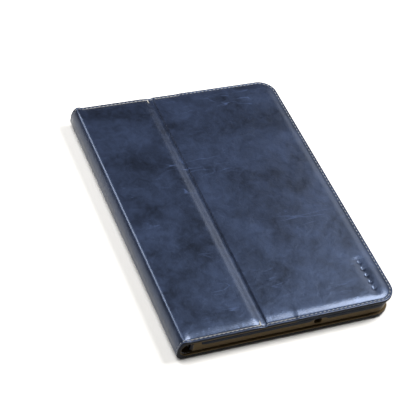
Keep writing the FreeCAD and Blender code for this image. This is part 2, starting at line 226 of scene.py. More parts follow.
# ---------------------------------------------------------------- sizes and places of the small features
RIGID_X = -62.0 * MM            # on the front cover, past the spine's bend
SPINE_MARGIN = 9.0 * MM         # how far in from its outside a cover counts as spine
LINING_INSET = 0.3 * MM
SPINE_BEND = (Vector((-72.9, 0, 1.1)) * MM, Vector((-75.5, 0, 3.7)) * MM)
SHOULDER_BEND = (Vector((-75.4, 0, 12.6)) * MM, Vector((-72.8, 0, 15.2)) * MM)
CREASE_BEND = (Vector((-20.5, 0, 16)) * MM, Vector((-13.5, 0, 16)) * MM)
CAMERA_HOLE = (62.0 * MM, -90.0 * MM, 5.0 * MM)     # x, y, radius
PAINTED_EDGE = 0.5 * MM
HEM_SEAM = 1.9 * MM             # the pocket's mouth to its seam

ORNAMENT_X = 63.0 * MM
ORNAMENT_Y = -84.0 * MM
ORNAMENT_PITCH = 5.6 * MM
LOZENGE_REACH = 1.9 * MM

WALL_RADIUS = 11.0 * MM
WALL_THICK = 3.2 * MM
SLOT_FLOOR, SLOT_ROOF = 5.1 * MM, 9.7 * MM
SLOT_HALF = (SLOT_ROOF - SLOT_FLOOR) / 2
SLOT_MIDDLE = (SLOT_ROOF + SLOT_FLOOR) / 2
NEAR_SLOTS = [(18.0 * MM, 24.0 * MM)]
FAR_SLOTS = [(-16.0 * MM, 22.0 * MM)]
FREE_SLOTS = [(-76.0 * MM, -42.0 * MM), (-34.0 * MM, -22.0 * MM)]

WINDOW_LOW, WINDOW_HIGH = Vector((-57.5, -81.0, 0)) * MM, Vector((63.5, 81.0, 0)) * MM
WINDOW_RADIUS = 2.5 * MM
WINDOW_SEAM = 2.0 * MM          # the window to its seam
BUTTON_HOLE = ((2.8 * MM, 90.8 * MM), 6.0 * MM)
LENS_HOLE = ((2.8 * MM, -90.8 * MM), 2.5 * MM)
SKIRT_LOW = 8.5 * MM

# Distances in from a cut edge at which a sheet has a row of points.
EDGE_ROWS = [mm * MM for mm in
             (0, 0.1, 0.25, 0.45, 0.7, 1.0, 1.3, 1.55, 1.8, 2.05, 2.35, 2.8, 3.4, 4.1, 5, 6, 7.5)]
STITCH_RINGS = 9
STITCH_SIDES = 8


# Name, settings, darkest and palest colour, speckle scale, streaking and bump strength.
RIGID_FINISHES = (
    ("edge_paint", {"Roughness": 0.6, "Specular IOR Level": 0.12},
     (0.003, 0.003, 0.005), (0.010, 0.011, 0.015), 900.0, (1, 1, 1), 0.3),
    ("pressed_board", {"Roughness": 0.9}, (0.16, 0.15, 0.13), (0.36, 0.34, 0.30), 900.0, (1, 1, 1), 0.4),
    ("nickel_plate", {"Metallic": 1.0, "Roughness": 0.28},
     (0.55, 0.54, 0.51), (0.74, 0.72, 0.68), 700.0, (1, 8, 1), 0.15),
    ("plain_steel", {"Metallic": 1.0, "Roughness": 0.4},
     (0.36, 0.37, 0.39), (0.56, 0.57, 0.59), 500.0, (10, 1, 1), 0.2),
    ("hooks_and_loops", {"Roughness": 0.95},
     (0.008, 0.009, 0.012), (0.05, 0.052, 0.06), 2600.0, (1, 1, 1), 1.0),
)

# The flap from its lower edge to the bezel: x, z and thickness in millimetres, and the way in.
FLAP_PROFILE = np.array([
    (-66.60, 5.2, 0.45, 1, 0), (-66.64, 5.5, 0.6, 1, 0), (-66.66, 6.0, 0.68, 1, 0), (-66.68, 7.0, 0.7, 1, 0),
    (-66.68, 8.5, 0.7, 1, 0), (-66.68, 10.0, 0.7, 1, 0), (-66.74, 10.8, 0.62, 1, 0), (-66.90, 11.4, 0.5, 1, 0),
    (-66.98, 12.0, 0.45, 1, 0), (-66.92, 12.6, 0.42, 1, -0.1), (-66.70, 12.98, 0.4, 0.75, -0.6),
    (-66.30, 13.12, 0.35, 0.2, -0.98), (-65.70, 13.16, 0.28, 0, -1), (-65.20, 13.10, 0.2, 0, -1)])
FLAP_BEND = ((-66.8 * MM, 0, 12.2 * MM), (-66.7 * MM, 0, 10.4 * MM))


# ---------------------------------------------------------------- settings a user would change
class FolioShape(bpy.types.PropertyGroup):
    """Sizes of the soft shapes."""
    corner_radius: FloatProperty(
        name="Corner radius", description="Round corners at the free edges",
        default=12.0 * MM, unit="LENGTH")
    spine_belly: FloatProperty(
        name="Spine belly", description="Radius where the spine turns under the back cover",
        default=5.5 * MM, unit="LENGTH")
    shoulder_radius: FloatProperty(
        name="Shoulder radius", description="Crisp bend where the spine meets the front cover",
        default=3.3 * MM, unit="LENGTH")
    margin_sink: FloatProperty(
        name="Margin sink", description="How far the stitched margin lies below the padded panel",
        default=1.0 * MM, unit="LENGTH")
    crease_depth: FloatProperty(
        name="Crease depth", description="Depth of the stand crease",
        default=1.5 * MM, unit="LENGTH")


class FolioSeams(bpy.types.PropertyGroup):
    """Sizes of the stitching."""
    pitch: FloatProperty(
        name="Stitch pitch", description="From one needle hole to the next",
        default=3.0 * MM, unit="LENGTH")
    inset: FloatProperty(
        name="Seam inset", description="Leather edge to the seam",
        default=1.75 * MM, unit="LENGTH")
    thread_radius: FloatProperty(
        name="Thread radius", description="Half the thread's thickness",
        default=0.29 * MM, unit="LENGTH")
    seed: IntProperty(name="Seed", description="Small unevenness of the stitches", default=7)


class FolioColours(bpy.types.PropertyGroup):
    """Colours of the finishes."""
    leather_deep: FloatVectorProperty(
        name="Leather, deep", description="Waxed navy in the unworn areas", subtype="COLOR",
        size=4, default=(0.0030, 0.0040, 0.0075, 1.0))
    leather_pale: FloatVectorProperty(
        name="Leather, pulled up", description="Paler blue where the wax has moved", subtype="COLOR",
        size=4, default=(0.036, 0.053, 0.110, 1.0))
    microfibre: FloatVectorProperty(
        name="Microfibre", description="Olive brown lining", subtype="COLOR",
        size=4, default=(0.105, 0.070, 0.028, 1.0))
    thread: FloatVectorProperty(
        name="Thread", description="Pale grey waxed thread", subtype="COLOR",
        size=4, default=(0.24, 0.25, 0.27, 1.0))


class FolioView(bpy.types.PropertyGroup):
    """The camera that looks at the closed folio."""
    azimuth: FloatProperty(
        name="Azimuth", description="Turn round the folio", default=math.radians(-30.48), unit="ROTATION")
    elevation: FloatProperty(
        name="Elevation", description="Height above the floor", default=math.radians(45.19),
        unit="ROTATION")
    roll: FloatProperty(
        name="Roll", description="Tilt of the picture", default=math.radians(12.74), unit="ROTATION")
    distance: FloatProperty(
        name="Distance", description="Camera to the aimed place", default=0.982, unit="LENGTH")
    aim: FloatVectorProperty(
        name="Aim", description="The place in the middle of the picture", subtype="XYZ",
        default=(-11.06 * MM, 17.83 * MM, 0.0))
    lens: FloatProperty(name="Lens", description="Focal length in millimetres", default=130.6)


# ---------------------------------------------------------------- the wrap: sections of the folio
class Section:
    """A line round the folio's cross-section, made of straight runs and clockwise turns."""

    def __init__(self, start, moves, step=0.1 * MM):
        x, z = start
        heading = math.pi
        rows = [(0.0, x, z, heading)]
        self.marks = [0.0]
        for kind, size, *turn in moves:
            length = size * math.radians(turn[0]) if kind == "turn" else size
            pieces = max(1, math.ceil(length / step)) if kind == "turn" else 1
            for _ in range(pieces):
                part = length / pieces
                bend = part / size if kind == "turn" else 0.0
                middle = heading - bend / 2
                x += part * math.cos(middle)
                z += part * math.sin(middle)
                heading -= bend
                rows.append((rows[-1][0] + part, x, z, heading))
            self.marks.append(rows[-1][0])
        self.rows = np.array(rows)
        self.length = self.rows[-1, 0]

    def at(self, along):
        """Position x, z and the inward direction at a distance along the line."""
        s, x, z, heading = self.rows.T
        angle = np.interp(along, s, heading)
        return np.interp(along, s, x), np.interp(along, s, z), np.sin(angle), -np.cos(angle)


def outer_section(shape):
    """The leather's outside: flat back, rounded belly, leaning side, crisp shoulder, flat front."""
    belly = shape.spine_belly
    lean = math.radians(40)
    lean_start = 9.0 * MM
    crisp = shape.shoulder_radius
    rise = CASE_TOP - lean_start - crisp * (1 - math.sin(lean))
    side = rise / math.sin(lean)
    shoulder_x = SPINE_X + side * (1 - math.cos(lean)) + crisp * math.cos(lean)
    return Section((BACK_FREE_X, 0.0), [
        ("run", BACK_FREE_X - SPINE_X - belly),
        ("turn", belly, 90),
        ("run", lean_start - belly),
        ("turn", side, 40),
        ("turn", crisp, 50),
        ("run", FREE_X - shoulder_x),
    ])


def inner_section():
    """The line where leather and lining meet, a plain U round the spine."""
    radius = CASE_TOP / 2 - LINING_DEPTH
    turn_x = SPINE_X + 2.1 * MM + radius
    return Section((BACK_FREE_X, LINING_DEPTH), [
        ("run", BACK_FREE_X - turn_x),
        ("turn", radius, 90),
        ("turn", radius, 90),
        ("run", FREE_X - turn_x),
    ])


class Wrap:
    """Turns flat places on the hide into places in space."""

    def __init__(self, shape):
        self.shape = shape
        self.outer = outer_section(shape)
        self.inner = inner_section()
        self.length = self.outer.length
        self.radius = shape.corner_radius
        beside_spine = SPINE_X + 10 * MM
        back_run = BACK_FREE_X - beside_spine
        front_run = FREE_X - beside_spine
        self.spine_middle = self.outer.marks[2] + 2.5 * MM
        self.outer_pins = [0, back_run, self.spine_middle, self.length - front_run, self.length]
        inner_length = self.inner.length
        self.inner_pins = [0, back_run, self.inner.marks[2], inner_length - front_run, inner_length]

    def front(self, x):
        """Distance along the wrap of a place on the front cover."""
        return self.length - (FREE_X - x)

    def back(self, x):
        """Distance along the wrap of a place on the back cover."""
        return BACK_FREE_X - x

    def inward(self, along):
        """Outer point, direction to the lining and distance to it, for each distance along."""
        x, z, _, _ = self.outer.at(along)
        inner_x, inner_z, _, _ = self.inner.at(np.interp(along, self.outer_pins, self.inner_pins))
        gap = np.hypot(inner_x - x, inner_z - z)
        return x, z, (inner_x - x) / gap, (inner_z - z) / gap, gap

    def place(self, along, across, depth):
        """A point in the leather, depth being measured from the outside towards the lining."""
        x, z, to_x, to_z, _ = self.inward(along)
        return np.stack([x + to_x * depth, across, z + to_z * depth], axis=-1)

    def place_lining(self, along, across, depth):
        """A point in the lining, depth being measured from the leather's inside."""
        inner_along = np.interp(along, self.outer_pins, self.inner_pins)
        x, z, to_x, to_z = self.inner.at(inner_along)
        return np.stack([x + to_x * depth, across, z + to_z * depth], axis=-1)

    def edge_distance(self, along, across, inset=0.0):
        """Distance in from the hide's edge, which is a rectangle with round corners."""
        radius = self.radius - inset
        reach_along = self.length / 2 - inset - radius
        reach_across = HALF_LENGTH - inset - radius
        out_along = np.abs(along - self.length / 2) - reach_along
        out_across = np.abs(across) - reach_across
        outside = np.hypot(np.maximum(out_along, 0), np.maximum(out_across, 0))
        return radius - outside - np.minimum(np.maximum(out_along, out_across), 0)

    def half_width(self, along, inset=0.0):
        """How far the hide reaches across, at a distance along it."""
        radius = self.radius - inset
        from_end = np.minimum(along, self.length - along) - inset
        short = np.clip(radius - from_end, 0, radius)
        return HALF_LENGTH - inset - radius + np.sqrt(radius**2 - short**2)


def smooth(value):
    """Ease from 0 to 1."""
    value = np.clip(value, 0, 1)
    return value * value * (3 - 2 * value)


def hump(value, width):
    """A soft bump of height 1 round zero."""
    return np.exp(-((value / width) ** 2))


def round_over(inset, reach, drop):
    """How far a rounded edge drops, at a distance in from it."""
    return drop * (1 - np.sqrt(1 - np.clip(1 - inset / reach, 0, 1)**2))


def waviness(along, across, seed, shortest, longest, count=9):
    """A gentle unevenness between -1 and 1, the same each run."""
    draw = random.Random(seed)
    total = np.zeros(np.broadcast(along, across).shape)
    for _ in range(count):
        wavelength = draw.uniform(shortest, longest)
        direction = draw.uniform(0, math.pi)
        phase = draw.uniform(0, 2 * math.pi)
        run = along * math.cos(direction) + across * math.sin(direction)
        total += np.sin(2 * math.pi * run / wavelength + phase)
    return total / count


# ---------------------------------------------------------------- the leather's relief
def ornament_sink(x, across):
    """A row of five debossed lozenges in a shallow pressed strip."""
    sink = np.zeros(np.broadcast(x, across).shape)
    for step in range(-2, 3):
        from_centre = np.abs(x - ORNAMENT_X) + np.abs(across - ORNAMENT_Y - step * ORNAMENT_PITCH)
        sink += 0.38 * MM * smooth((LOZENGE_REACH - from_centre) / (0.5 * MM))
    strip = smooth((17.5 * MM - np.abs(across - ORNAMENT_Y)) / (4 * MM))
    return sink + 0.32 * MM * strip * hump(x - ORNAMENT_X, 3.2 * MM)


def crease_sink(x, depth):
    """The stand crease: a long easy slope on the spine side and a steep one on the free side."""
    from_crease = x - CREASE_X
    down = smooth((from_crease + 9.6 * MM) / (9.0 * MM)) ** 1.7
    up = smooth((from_crease + 0.1 * MM) / (1.1 * MM))
    return depth * down * (1 - up)


def outside_sink(wrap, along, across):
    """How far the leather's outside lies below its plain wrapped surface."""
    shape = wrap.shape
    edge = wrap.edge_distance(along, across)
    on_spine = (smooth((along - wrap.back(SPINE_X + SPINE_MARGIN)) / (6 * MM))
                * smooth((wrap.front(SPINE_X + SPINE_MARGIN) - along) / (6 * MM)))
    margin = (1 - np.clip((edge - 2.0 * MM) / (6.4 * MM), 0, 1)) ** 2.2
    sink = shape.margin_sink * margin * (1 - 0.72 * on_spine)
    sink += 0.30 * MM * hump(edge - 1.75 * MM, 0.5 * MM)
    sink += round_over(edge, 0.75 * MM, 0.65 * MM)
    x = wrap.outer.at(along)[0]
    on_front = along > wrap.spine_middle
    sink += np.where(on_front, crease_sink(x, shape.crease_depth) * (1 - 0.55 * margin), 0)
    near_edge = 1 - smooth(edge / (13 * MM))
    thin_side = 1 - smooth((x - POCKET_LOW.x + 1.2 * MM) / (2.4 * MM))
    sink += np.where(on_front, 0.32 * MM * near_edge * thin_side * (1 - on_spine), 0)
    sink += np.where(on_front, ornament_sink(x, across), 0)
    waves = waviness(along, across, 3, 9 * MM, 46 * MM)
    sink += 0.07 * MM * (1 + waves) * smooth(edge / (4 * MM))
    return sink


def inside_depth(wrap, along, across):
    """Depth of the leather's inside: on the boards, or on the lining where there is no board."""
    gap = wrap.inward(along)[4]
    edge = wrap.edge_distance(along, across)
    x = wrap.outer.at(along)[0]
    on_front = along > wrap.spine_middle
    from_crease = np.where(on_front, np.abs(x - CREASE_X), 1.0)
    over_board = (smooth((edge - 1.9 * MM) / (0.4 * MM)) * smooth((from_crease - 3 * MM) / (0.6 * MM))
                  * smooth((x - BOARD_LOW.x - 1 * MM) / (3 * MM)))
    return gap + (LEATHER_DEPTH - gap) * over_board


# ---------------------------------------------------------------- meshes on the wrap
def graded(start, end, marks):
    """Places from start to end, whose spacing is interpolated between (place, spacing) marks."""
    where = [mark[0] for mark in marks]
    spacing = [mark[1] for mark in marks]
    places = [start]
    while places[-1] < end:
        places.append(places[-1] + float(np.interp(places[-1], where, spacing)))
    places = np.array(places)
    return start + (places - start) * (end - start) / (places[-1] - start)


def corner_stations(radius, pieces=26):
    """Distances from a free end, closest together where the rounded corner turns fastest."""
    return [radius * (1 - math.cos(math.pi / 2 * step / pieces)) for step in range(pieces + 1)]


def flat_grid(wrap, stations, near_fine=None, inset=0.0, coarse=3.0 * MM):
    """Flat places: one column per station, and rows that crowd towards both edges.

    near_fine is a (from, to, spacing) band of closer rows, measured in from the near edge.
    """
    near, far = np.array(EDGE_ROWS), np.array(EDGE_ROWS)
    if near_fine:
        lead = np.arange(near[-1] + coarse, near_fine[0], coarse)
        near = np.concatenate([near, lead, np.arange(*near_fine)])
    half = wrap.half_width(stations, inset)[:, None]
    near_rows = -half + near[None, :]
    far_rows = half - far[None, ::-1]
    gap = 2 * HALF_LENGTH - near[-1] - far[-1]
    shares = np.linspace(0, 1, max(3, round(gap / coarse)) + 1)[1:-1]
    middle = near_rows[:, -1:] + (far_rows[:, :1] - near_rows[:, -1:]) * shares[None, :]
    across = np.concatenate([near_rows, middle, far_rows], axis=1)
    return np.repeat(stations[:, None], across.shape[1], axis=1), across


def cut_out(inside):
    """The faces that stay when those wholly inside go, and the points on the gap's rim."""
    dropped = inside[:-1, :-1] & inside[1:, :-1] & inside[:-1, 1:] & inside[1:, 1:]
    touched = np.zeros(inside.shape, int)
    for i, j in ((0, 0), (1, 0), (0, 1), (1, 1)):
        touched[i:i + dropped.shape[0], j:j + dropped.shape[1]] += dropped
    return ~dropped, (touched > 0) & (touched < 4)


def round_hole(along, across, centre, radius):
    """The grid pulled onto a round hole's rim, and the faces that stay."""
    out_along, out_across = along - centre[0], across - centre[1]
    distance = np.hypot(out_along, out_across)
    kept, rim = cut_out(distance < radius)
    pull = np.where(rim, radius / np.maximum(distance, 1e-9), 1)
    return centre[0] + out_along * pull, centre[1] + out_across * pull, kept


def solid_from_sheets(name, outside, inside, kept=None, facts=None):
    """A closed mesh between two grids of points, open where kept is false."""
    columns, rows = outside.shape[:2]
    count = columns * rows
    if kept is None:
        kept = np.ones((columns - 1, rows - 1), bool)
    index = np.arange(count).reshape(columns, rows)
    used = np.argwhere(kept)
    faces = []
    for i, j in used:
        a, b, c, d = index[i, j], index[i + 1, j], index[i + 1, j + 1], index[i, j + 1]
        faces.append((a, b, c, d))
        faces.append((a + count, d + count, c + count, b + count))
    padded = np.zeros((columns + 1, rows + 1), bool)
    padded[1:-1, 1:-1] = kept
    for i in range(columns):
        for j in range(rows - 1):
            before, after = padded[i, j + 1], padded[i + 1, j + 1]
            if before != after:
                a, b = (index[i, j], index[i, j + 1]) if after else (index[i, j + 1], index[i, j])
                faces.append((a, b, b + count, a + count))
    for i in range(columns - 1):
        for j in range(rows):
            before, after = padded[i + 1, j], padded[i + 1, j + 1]
            if before != after:
                a, b = (index[i + 1, j], index[i, j]) if after else (index[i, j], index[i + 1, j])
                faces.append((a, b, b + count, a + count))
    points = np.concatenate([outside.reshape(-1, 3), inside.reshape(-1, 3)])
    return mesh_object(name, points, faces, facts)


def scene_object(name, data):
    """An object in the scene."""
    made = bpy.data.objects.new(name, data)
    bpy.context.scene.collection.objects.link(made)
    return made


def mesh_object(name, points, faces, facts=None, sharp_angle=38):
    """A smooth-shaded object from points and faces, with named facts stored on its points."""
    mesh = bpy.data.meshes.new(name)
    mesh.from_pydata([tuple(point) for point in points], [], [tuple(map(int, f)) for f in faces])
    facts = {"flat": np.array(points), **(facts or {})}
    for fact, values in facts.items():
        kind, key = ("FLOAT_VECTOR", "vector") if values.ndim == 2 else ("FLOAT", "value")
        attribute = mesh.attributes.new(fact, kind, "POINT")
        attribute.data.foreach_set(key, values.astype(np.float32).ravel())
    builder = bmesh.new()
    builder.from_mesh(mesh)
    loose = [vertex for vertex in builder.verts if not vertex.link_faces]
    bmesh.ops.delete(builder, geom=loose, context="VERTS")
    bmesh.ops.recalc_face_normals(builder, faces=builder.faces)
    builder.to_mesh(mesh)
    builder.free()
    mesh.shade_smooth()
    mesh.set_sharp_from_angle(angle=math.radians(sharp_angle))
    return scene_object(name, mesh)


# ---------------------------------------------------------------- seams
def seam_runs(wrap, inset):
    """Lengths of the perimeter seam's long run, corner and short run."""
    corner = (wrap.radius - inset) * math.pi / 2
    return wrap.length - 2 * wrap.radius, corner, 2 * (HALF_LENGTH - wrap.radius)


def seam_place(wrap, measure, inset):
    """Flat place and direction at a measure round the perimeter, starting on the near edge."""
    long_run, corner, short_run = seam_runs(wrap, inset)
    radius = wrap.radius
    turn = radius - inset
    sides = [
        (long_run, (radius, -HALF_LENGTH + inset), 0.0, (wrap.length - radius, -HALF_LENGTH + radius)),
        (short_run, (wrap.length - inset, -HALF_LENGTH + radius), math.pi / 2,
         (wrap.length - radius, HALF_LENGTH - radius)),
        (long_run, (wrap.length - radius, HALF_LENGTH - inset), math.pi, (radius, HALF_LENGTH - radius)),
        (short_run, (inset, HALF_LENGTH - radius), -math.pi / 2, (radius, -HALF_LENGTH + radius)),
    ]
    for run, start, heading, centre in sides:
        if measure < run:
            step = (math.cos(heading) * measure, math.sin(heading) * measure)
            return start[0] + step[0], start[1] + step[1], heading
        measure -= run
        if measure < corner:
            angle = heading + measure / turn
            return centre[0] + turn * math.sin(angle), centre[1] - turn * math.cos(angle), angle
        measure -= corner
    return seam_place(wrap, measure, inset)


def stitch_points(length, radius):
    """One two-ply stitch: (forward, sideways, up) for each ring and side, its ends diving down."""
    rings = []
    for ring in range(STITCH_RINGS):
        share = ring / (STITCH_RINGS - 1)
        forward = (share - 0.5) * length
        ends = abs(2 * share - 1)
        thick = radius * math.sqrt(max(0.06, 1 - ends**6))
        lift = 0.55 * radius - 2.0 * radius * ends**4
        for side in range(STITCH_SIDES):
            angle = 2 * math.pi * side / STITCH_SIDES
            ply = 1 + 0.13 * math.cos(2 * (angle - 2.4 * math.pi * share))
            rings.append((forward, thick * ply * math.cos(angle), lift + 0.8 * thick * ply * math.sin(angle)))
    return np.array(rings)


def stitch_faces(first):
    """Faces of one stitch whose points start at a given index."""
    faces = []
    for ring in range(STITCH_RINGS - 1):
        for side in range(STITCH_SIDES):
            a = first + ring * STITCH_SIDES + side
            b = first + ring * STITCH_SIDES + (side + 1) % STITCH_SIDES
            faces.append((a, b, b + STITCH_SIDES, a + STITCH_SIDES))
    last = first + (STITCH_RINGS - 1) * STITCH_SIDES
    faces.append(tuple(first + side for side in reversed(range(STITCH_SIDES))))
    faces.append(tuple(last + side for side in range(STITCH_SIDES)))
    return faces


def sew(name, places, put, seams, lift=0.0):
    """Stitches at flat (u, v, heading) places, each point put into space by put(u, v, height)."""
    draw = random.Random(seams.seed)
    points, faces = [], []
    for u, v, heading in places:
        local = stitch_points(seams.pitch * draw.uniform(0.66, 0.74), seams.thread_radius)
        slant = heading + math.radians(draw.uniform(5, 10))
        forward = np.array((math.cos(slant), math.sin(slant)))
        sideways = np.array((-math.sin(slant), math.cos(slant)))
        flat = local[:, :1] * forward + local[:, 1:2] * sideways
        faces.extend(stitch_faces(len(points) * STITCH_RINGS * STITCH_SIDES))
        points.append(put(u + flat[:, 0], v + flat[:, 1], local[:, 2] + lift))
    return mesh_object(name, np.concatenate(points), faces, sharp_angle=80)


def perimeter_places(wrap, seams, low, high):
    """Seam places round the hide whose distance along the wrap is between low and high."""
    long_run, corner, short_run = seam_runs(wrap, seams.inset)
    total = 2 * (long_run + short_run) + 4 * corner
    count = round(total / seams.pitch)
    step = total / count
    places = [seam_place(wrap, (index + 0.5) * step, seams.inset) for index in range(count)]
    return [place for place in places if low <= place[0] < high]


# ---------------------------------------------------------------- pieces of the hide
def skin_normals(wrap, surface, along, across):
    """Outward normals of a surface given in flat places, for shading across a hidden joint."""
    step = 0.2 * MM
    by_along = surface(along + step, across) - surface(along - step, across)
    by_across = surface(along, across + step) - surface(along, across - step)
    normal = np.cross(by_along, by_across)
    outward = surface(along, across) - wrap.place_lining(along, across, 0.4 * MM)
    normal *= np.sign((normal * outward).sum(-1))[..., None]
    return normal / np.linalg.norm(normal, axis=-1)[..., None]


def shade_joint(piece, points, normals):
    """Give the corners at these points the stated normals, so that two pieces shade as one."""
    wanted = {tuple(np.round(point, 6)): normal for point, normal in zip(points, normals)}
    mesh = piece.data
    corners = [(0.0, 0.0, 0.0)] * len(mesh.loops)
    places = [tuple(np.round(vertex.co, 6)) for vertex in mesh.vertices]
    for face in mesh.polygons:
        for corner in face.loop_indices:
            normal = wanted.get(places[mesh.loops[corner].vertex_index])
            if normal is not None and face.normal.dot(Vector(normal)) > 0.7:
                corners[corner] = tuple(normal)
    mesh.normals_split_custom_set(corners)


def hide_piece(wrap, name, stations, joints=(), hole=None, near_fine=None, coarse=3.0 * MM):
    """A stretch of the outer leather; joints are the stations where it meets the next stretch."""
    along, across = flat_grid(wrap, stations, near_fine, coarse=coarse)
    kept = None
    if hole:
        along, across, kept = round_hole(along, across, *hole)

    def surface(u, v):
        return wrap.place(u, v, outside_sink(wrap, u, v))

    inside = wrap.place(along, across, inside_depth(wrap, along, across))
    piece = solid_from_sheets(name, surface(along, across), inside, kept, flat_facts(wrap, along, across))
    for station in joints:
        column = int(np.argmin(np.abs(stations - station)))
        u, v = along[column], across[column]
        shade_joint(piece, surface(u, v), skin_normals(wrap, surface, u, v))
    return piece


def lining_piece(wrap, name, stations, hole=None, near_fine=None):
    """A stretch of the microfibre glued inside the hide."""
    along, across = flat_grid(wrap, stations, near_fine=near_fine, inset=LINING_INSET)
    kept = None
    if hole:
        along, across, kept = round_hole(along, across, *hole)
    x = wrap.outer.at(along)[0]
    soft = 1 - smooth((x - SPINE_X - 8 * MM) / (5 * MM))
    turned = smooth((SPINE_X + 8.5 * MM - x) / (2 * MM))
    wrinkle = waviness(along, across, 11, 2.2 * MM, 7 * MM) * soft
    facing = FACING + 0.16 * MM * wrinkle + 0.05 * MM * waviness(along, across, 5, 8 * MM, 30 * MM)
    edge = wrap.edge_distance(along, across, LINING_INSET)
    thick_rim = 1 - smooth((edge - 0.8 * MM) / (1.6 * MM))
    on_front = along > wrap.spine_middle
    facing += np.where(on_front, 0.30 * MM * thick_rim * (1 - soft), 0) - 0.25 * MM * turned
    glued = wrap.place_lining(along, across, np.zeros_like(along))
    shown = wrap.place_lining(along, across, facing)
    return solid_from_sheets(name, shown, glued, kept, flat_facts(wrap, along, across, LINING_INSET))


def facts_of(u, v, edge=None):
    """Facts the finishes read, for both sheets: the flat place and the distance in from the cut edge."""
    flat = np.stack([u, v, np.zeros_like(u)], axis=-1).reshape(-1, 3)
    facts = {"flat": np.concatenate([flat, flat])}
    if edge is not None:
        facts["edge"] = np.concatenate([edge.ravel(), edge.ravel()])
    return facts


def flat_facts(wrap, along, across, inset=0.0):
    """Those facts for a place on the hide."""
    return facts_of(along, across, wrap.edge_distance(along, across, inset))


def camera_hole(wrap):
    """The camera hole in flat places, and the band of closer rows round it."""
    x, across, radius = CAMERA_HOLE
    from_edge = HALF_LENGTH + across
    return ((wrap.back(x), across), radius), (from_edge - 6 * MM, from_edge + 6 * MM, 0.6 * MM)


def hide_stations(wrap, inset=0.0):
    """Stations of the back, the upper spine and the front stretch."""
    corner = np.array(corner_stations(wrap.radius - inset))
    hole_end = wrap.back(CAMERA_HOLE[0]) + 6 * MM
    back = graded(wrap.radius, wrap.spine_middle, [
        (wrap.radius, 0.6 * MM), (hole_end, 0.6 * MM), (hole_end + 6 * MM, 2.6 * MM),
        (wrap.back(SPINE_X + 12 * MM), 2.4 * MM), (wrap.back(SPINE_X + 7 * MM), 0.7 * MM),
        (wrap.spine_middle, 0.7 * MM)])
    rigid = wrap.front(RIGID_X)
    spine = graded(wrap.spine_middle, rigid, [
        (wrap.spine_middle, 0.6 * MM), (wrap.front(SPINE_X + 3 * MM), 0.35 * MM),
        (wrap.front(SPINE_X + 6 * MM), 0.6 * MM), (rigid, 1.5 * MM)])
    front = graded(rigid, wrap.length - wrap.radius, [
        (rigid, 1.5 * MM), (rigid + 6 * MM, 2.2 * MM),
        (wrap.front(CREASE_X - 12 * MM), 2.0 * MM), (wrap.front(CREASE_X - 6 * MM), 0.5 * MM),
        (wrap.front(CREASE_X - 1.5 * MM), 0.3 * MM), (wrap.front(CREASE_X + 3 * MM), 0.35 * MM),
        (wrap.front(CREASE_X + 8 * MM), 1.6 * MM), (wrap.front(POCKET_LOW.x), 1.2 * MM),
        (wrap.front(POCKET_LOW.x + 5 * MM), 2.2 * MM), (wrap.front(52 * MM), 2.0 * MM),
        (wrap.front(58 * MM), 0.55 * MM), (wrap.length, 0.5 * MM)])
    back = np.concatenate([inset + corner[:-1], back])
    front = np.concatenate([front, wrap.length - inset - corner[-2::-1]])
    return back, spine, front


def join_pieces(name, pieces):
    """Several mesh objects made into one."""
    points, faces = [], []
    for piece in pieces:
        first = len(points)
        points.extend(vertex.co[:] for vertex in piece.data.vertices)
        faces.extend(tuple(first + index for index in face.vertices) for face in piece.data.polygons)
        bpy.data.objects.remove(piece)
    return mesh_object(name, np.array(points), faces, sharp_angle=80)


# ---------------------------------------------------------------- finishes
class Tree:
    """Short ways to add and link nodes."""

    def __init__(self, tree):
        self.tree = tree
        tree.nodes.clear()

    def add(self, kind, inputs=None, **settings):
        """A node with its settings, its inputs being plain values or other nodes' sockets."""
        node = self.tree.nodes.new(kind)
        for key, value in settings.items():
            setattr(node, key, value)
        self.put(node, inputs or {})
        return node

    def put(self, node, inputs):
        """Fill a node's inputs, from plain values or other nodes' sockets."""
        for key, value in inputs.items():
            if isinstance(value, bpy.types.NodeSocket):
                self.tree.links.new(value, node.inputs[key])
            else:
                node.inputs[key].default_value = value

    def math(self, operation, first, second=0.0, clamp=False):
        """The result of a Math node."""
        return self.add("ShaderNodeMath", {0: first, 1: second}, operation=operation,
                        use_clamp=clamp).outputs[0]

    def weigh(self, first, first_weight, second, second_weight):
        """A weighted sum of two values."""
        return self.math("ADD", self.math("MULTIPLY", first, first_weight),
                         self.math("MULTIPLY", second, second_weight))

    def noise(self, place, scale, detail=3.0, roughness=0.5, distortion=0.0):
        """A noise value."""
        node = self.add("ShaderNodeTexNoise", {
            "Vector": place, "Scale": scale, "Detail": detail, "Roughness": roughness,
            "Distortion": distortion})
        return node.outputs[0]

    def remap(self, value, low, high, to_low=0.0, to_high=1.0):
        """A smooth step between two values."""
        node = self.add("ShaderNodeMapRange", {
            "Value": value, "From Min": low, "From Max": high, "To Min": to_low, "To Max": to_high},
            interpolation_type="SMOOTHSTEP")
        return node.outputs[0]

    def stretch(self, place, scale, turn=0.0):
        """A place scaled along each axis, after a turn in the flat."""
        node = self.add("ShaderNodeMapping", {
            "Vector": place, "Rotation": (0.0, 0.0, turn), "Scale": scale})
        return node.outputs[0]

    def mix(self, share, first, second):
        """A blend of two colours."""
        return self.add("ShaderNodeMix", {0: share, 6: first, 7: second}, data_type="RGBA").outputs[2]


